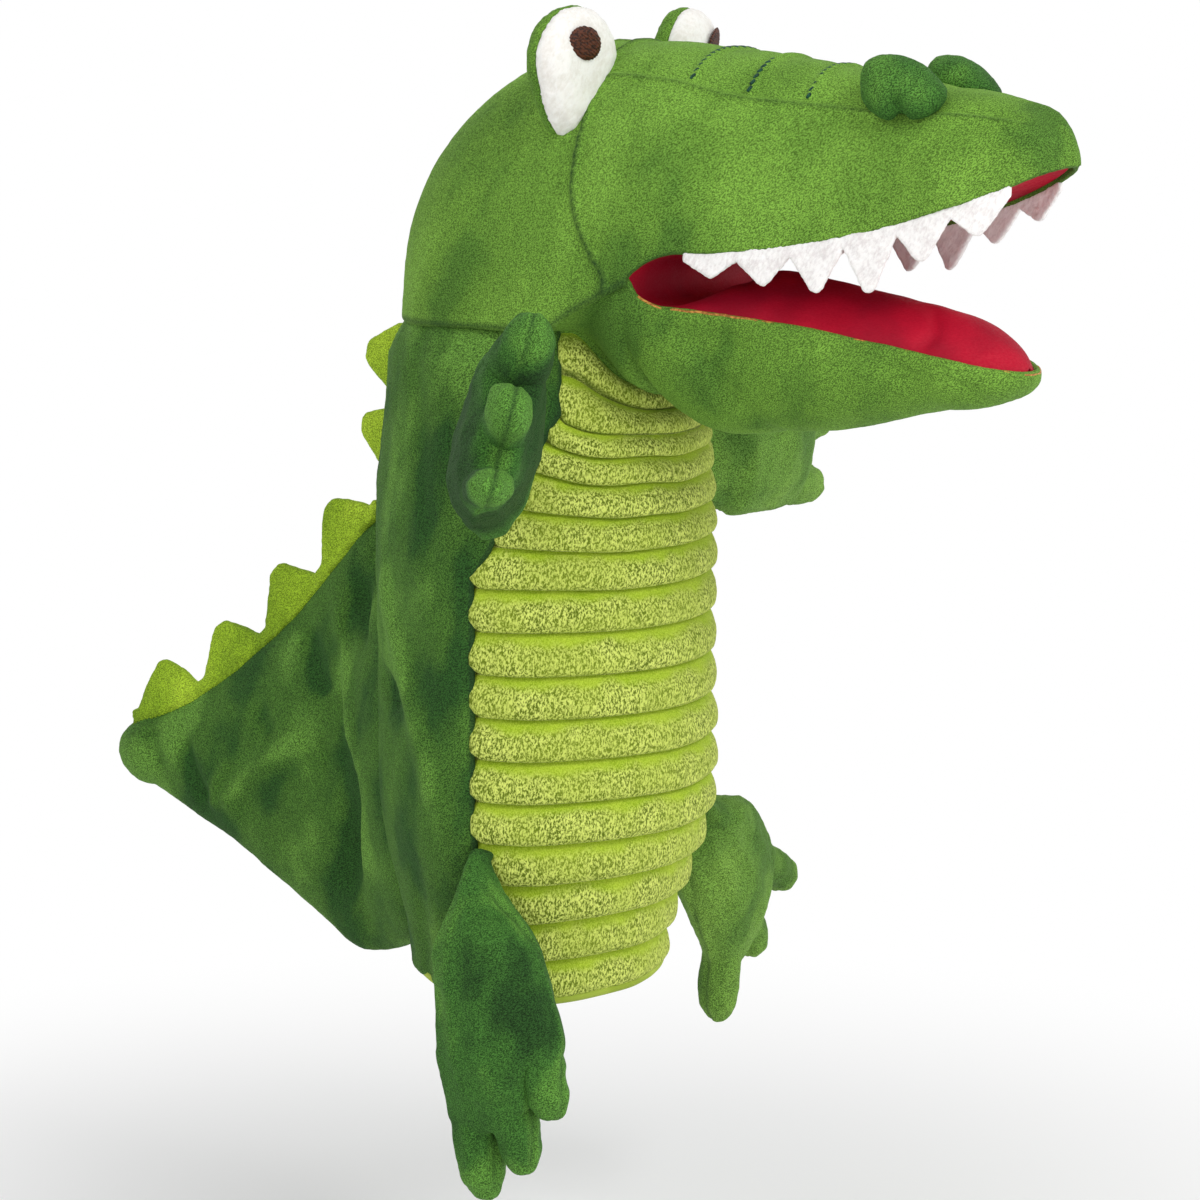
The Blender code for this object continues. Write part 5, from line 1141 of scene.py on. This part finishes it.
def make_limb(name, node, material, seed, pose=None, pinch=0, tone=0.1):
    """A flipper of two panels, with a seam round its rim, painted highlights on the ends of its toes and
    along its rim, and painted shade that grows with tone.
    """
    piece = soft_copy(name, node, 0.85, 7)
    points = points_of(piece)
    centre = points.mean(axis=0)
    axes = np.linalg.svd((points - centre)[::7], full_matrices=False)[2]
    reach = np.linalg.norm(points[:, :2], axis=1) if node.startswith("arm") else -points[:, 2]
    root = points[np.argsort(reach)[:400]].mean(axis=0)
    along = axes[0] if (centre - root) @ axes[0] > 0 else -axes[0]
    away = (points - root) @ along
    aside = (points - root) @ axes[1]
    points = points - axes[1] * (pinch * aside * ease(1 - away / 30))[:, None]
    if pose:
        points = pose(points, normals_of(piece), away)
    set_points(piece, points)
    depth = (points - points.mean(axis=0)) @ axes[2]
    rim = ease(1 - 1.6 * np.abs(normals_of(piece) @ axes[2]))
    push(piece, 0.6 - rim * sewn(depth, 0.9, 1, 0.3, 4)
         + lumps(points, seed, (0.8, 14), (0.35, 5), (0.12, 1.5)))
    # the rim seam darkens with thread and painted shade
    keep_values(piece, "seam", rim * groove(depth, 0.8, 0.8))
    # painted highlight on the ends of the toes
    painted_toe_highlight = ease((away / away.max() - 0.8) / 0.15)
    # random tone, painted shade that grows with tone, and the painted highlight on the toes
    tone_shift = 0.4 * soft_noise(points, 22, seed + 3) + tone - (0.9 + tone) * painted_toe_highlight
    # painted sheen: a paler band along the rim
    keep_values(piece, "fold", tone_shift - rim * groove(depth, 1, 4))
    dress(piece, material, "deep_green_plush", node)
    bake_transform(piece)


def near_arm_pose(points, normals, away):
    """Raised, with its lower edge folded up and its first toe running broadly into the palm."""
    points = points + np.array([-1.6, 2.5, 6]) * ease(away / 50)[:, None]
    points[:, 2] += 5 * ease((186 - points[:, 2]) / 30)
    along = np.array([0.55, -0.84, 0])
    toe = groove(points[:, 2] - 196, 0.2, 10) * ease((away / away.max() - 0.74) / 0.08)
    aside = points @ along
    points = points - along * (toe * (aside - aside[toe > 0.15].mean()))[:, None]
    wide = groove(points[:, 2] - 207, 1, 7) * ease(away / 30)
    behind = np.clip(0.84 * normals[:, 1] - 0.54 * normals[:, 0], 0, 1)
    return points + normals * (wide * (1.8 + 3.4 * behind))[:, None]


def near_leg_pose(points, normals, away):
    """Lifted at its front toe."""
    y, z = points[:, 1], points[:, 2]
    front = ease((-y - 35) / 7) * ease(-z / 26)
    rear = ease((y + 28) / 8)
    lift = (2.6 + 2.4 * rear) * ease(-z / 45) + 7.5 * front
    return points + stack(0, 4 * front, lift)


def make_pocket(name, node, body):
    piece = soft_copy(name, node, 0.55, 3)
    push(piece, lumps(points_of(piece), 91, (0.15, 7)))
    dress(piece, GLOVE, "lime_lining", node)
    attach(piece, body)


make_sleeve_skin()
make_belly_skin()
make_sleeve_lining()
make_head_skin()
make_snout_stitches()
make_jaw_skin()
make_mouth_lining()
make_lip_seam()
make_tail_skin()
make_crest("tail_spikes", "tail_crest", "tail", 101)
make_crest("back_spikes", "back_crest", "body", 111)
# the right side is the near one in the photo: its limbs are darker with painted shade, the far limbs paler
# with painted light, and the far teeth curl in
for label, side, cloth, curl, tone, arm_pose, leg_pose in (
        ("left", 1, PAINTED_LIGHT_LIMB_PLUSH, 0.45, 0.1, None, None),
        ("right", -1, LIMB_PLUSH, 0, 0.9, near_arm_pose, near_leg_pose)):
    make_teeth("felt_teeth_" + label, "teeth_" + label, curl)
    make_nostril("nostril_puff_" + label, "nostril_" + label, side)
    make_eye(label)
    make_limb("plush_arm_" + label, "arm_" + label, cloth, 131, arm_pose, tone=tone)
    make_limb("plush_leg_" + label, "leg_" + label, cloth, 141, leg_pose, pinch=0.75)
make_pocket("finger_glove", "finger_pocket", "head")
make_pocket("thumb_glove", "thumb_pocket", "lower_jaw")


# ---- floor, light and camera, in metres

FLOOR_DROP = 0.06                 # the puppet hangs, worn on a hand, above the floor
# lamps: place from the puppet's centre, size across and power
LAMPS = (("key", (-0.35, -1.15, 1.05), 0.7, 9), ("side", (-1.3, 0.25, 0.75), 0.8, 4),
         ("front", (-1, -1.1, -0.05), 0.9, 4.5), ("fill", (0.9, -1, 0.1), 0.9, 3))
CAMERA_TARGET, CAMERA_DISTANCE, CAMERA_LENS = (0, -0.020, 0.125), 1.1, 103.125
AZIMUTH, ELEVATION = math.radians(-57), math.radians(9)


def make_floor(low_z):
    """Pale, with the puppet's shadow, and as white as the backdrop beyond it."""
    bpy.ops.mesh.primitive_plane_add(size=14, location=(0, 0, low_z - FLOOR_DROP))
    floor = bpy.context.object
    floor.name = "studio_floor"
    material = bpy.data.materials.new("studio_floor")
    nodes = Nodes(material)
    shader = nodes.tree.nodes["Principled BSDF"]
    nodes.feed(shader, {"Base Color": (0.92, 0.92, 0.92, 1), "Roughness": 1, "Specular IOR Level": 0})
    white = nodes.node("Emission", {"Strength": 1})
    place = nodes.node("TexCoord").outputs["Object"]
    away = nodes.node("VectorMath", {0: place}, operation='LENGTH').outputs["Value"]
    seen = nodes.node("LightPath").outputs["Is Camera Ray"]
    share = nodes.math('MULTIPLY', nodes.spread(away, 0.12, 0.5), seen)
    nodes.choose(share, shader, white, "Material Output")
    floor.data.materials.append(material)


def make_backdrop():
    """Soft light all round, seen as white."""
    world = bpy.data.worlds.new("studio")
    bpy.context.scene.world = world
    nodes = Nodes(world)
    sky = nodes.tree.nodes["Background"]
    nodes.feed(sky, {"Color": (1, 1, 1, 1), "Strength": 0.62})
    white = nodes.node("Background", {"Color": (1, 1, 1, 1), "Strength": 1})
    rays = nodes.node("LightPath").outputs
    seen = nodes.math('MAXIMUM', rays["Is Camera Ray"], rays["Is Glossy Ray"])
    nodes.choose(seen, sky, white, "World Output")


def aim(name, data, place, direction):
    """Put a lamp or the camera in the scene, looking along a direction."""
    made = bpy.data.objects.new(name, data)
    made.location = place
    made.rotation_mode = 'QUATERNION'
    made.rotation_quaternion = direction.to_track_quat('-Z', 'Y')
    bpy.context.scene.collection.objects.link(made)
    return made


def make_studio():
    low, high = [Vector(corner) for corner in cad_box]
    make_floor(low.z)
    make_backdrop()
    for name, place, size, power in LAMPS:
        lamp = bpy.data.lights.new(name, 'AREA')
        lamp.shape = 'DISK'
        lamp.size = size
        lamp.energy = power
        aim(name, lamp, (low + high) / 2 + Vector(place), -Vector(place))
    camera = bpy.data.cameras.new("camera")
    camera.lens = CAMERA_LENS
    camera.sensor_width = 36
    back = Vector((math.sin(AZIMUTH) * math.cos(ELEVATION), -math.cos(AZIMUTH) * math.cos(ELEVATION),
                   math.sin(ELEVATION)))
    scene = bpy.context.scene
    scene.camera = aim("camera", camera, Vector(CAMERA_TARGET) + back * CAMERA_DISTANCE, -back)
    scene.view_settings.view_transform = 'Standard'


make_studio()
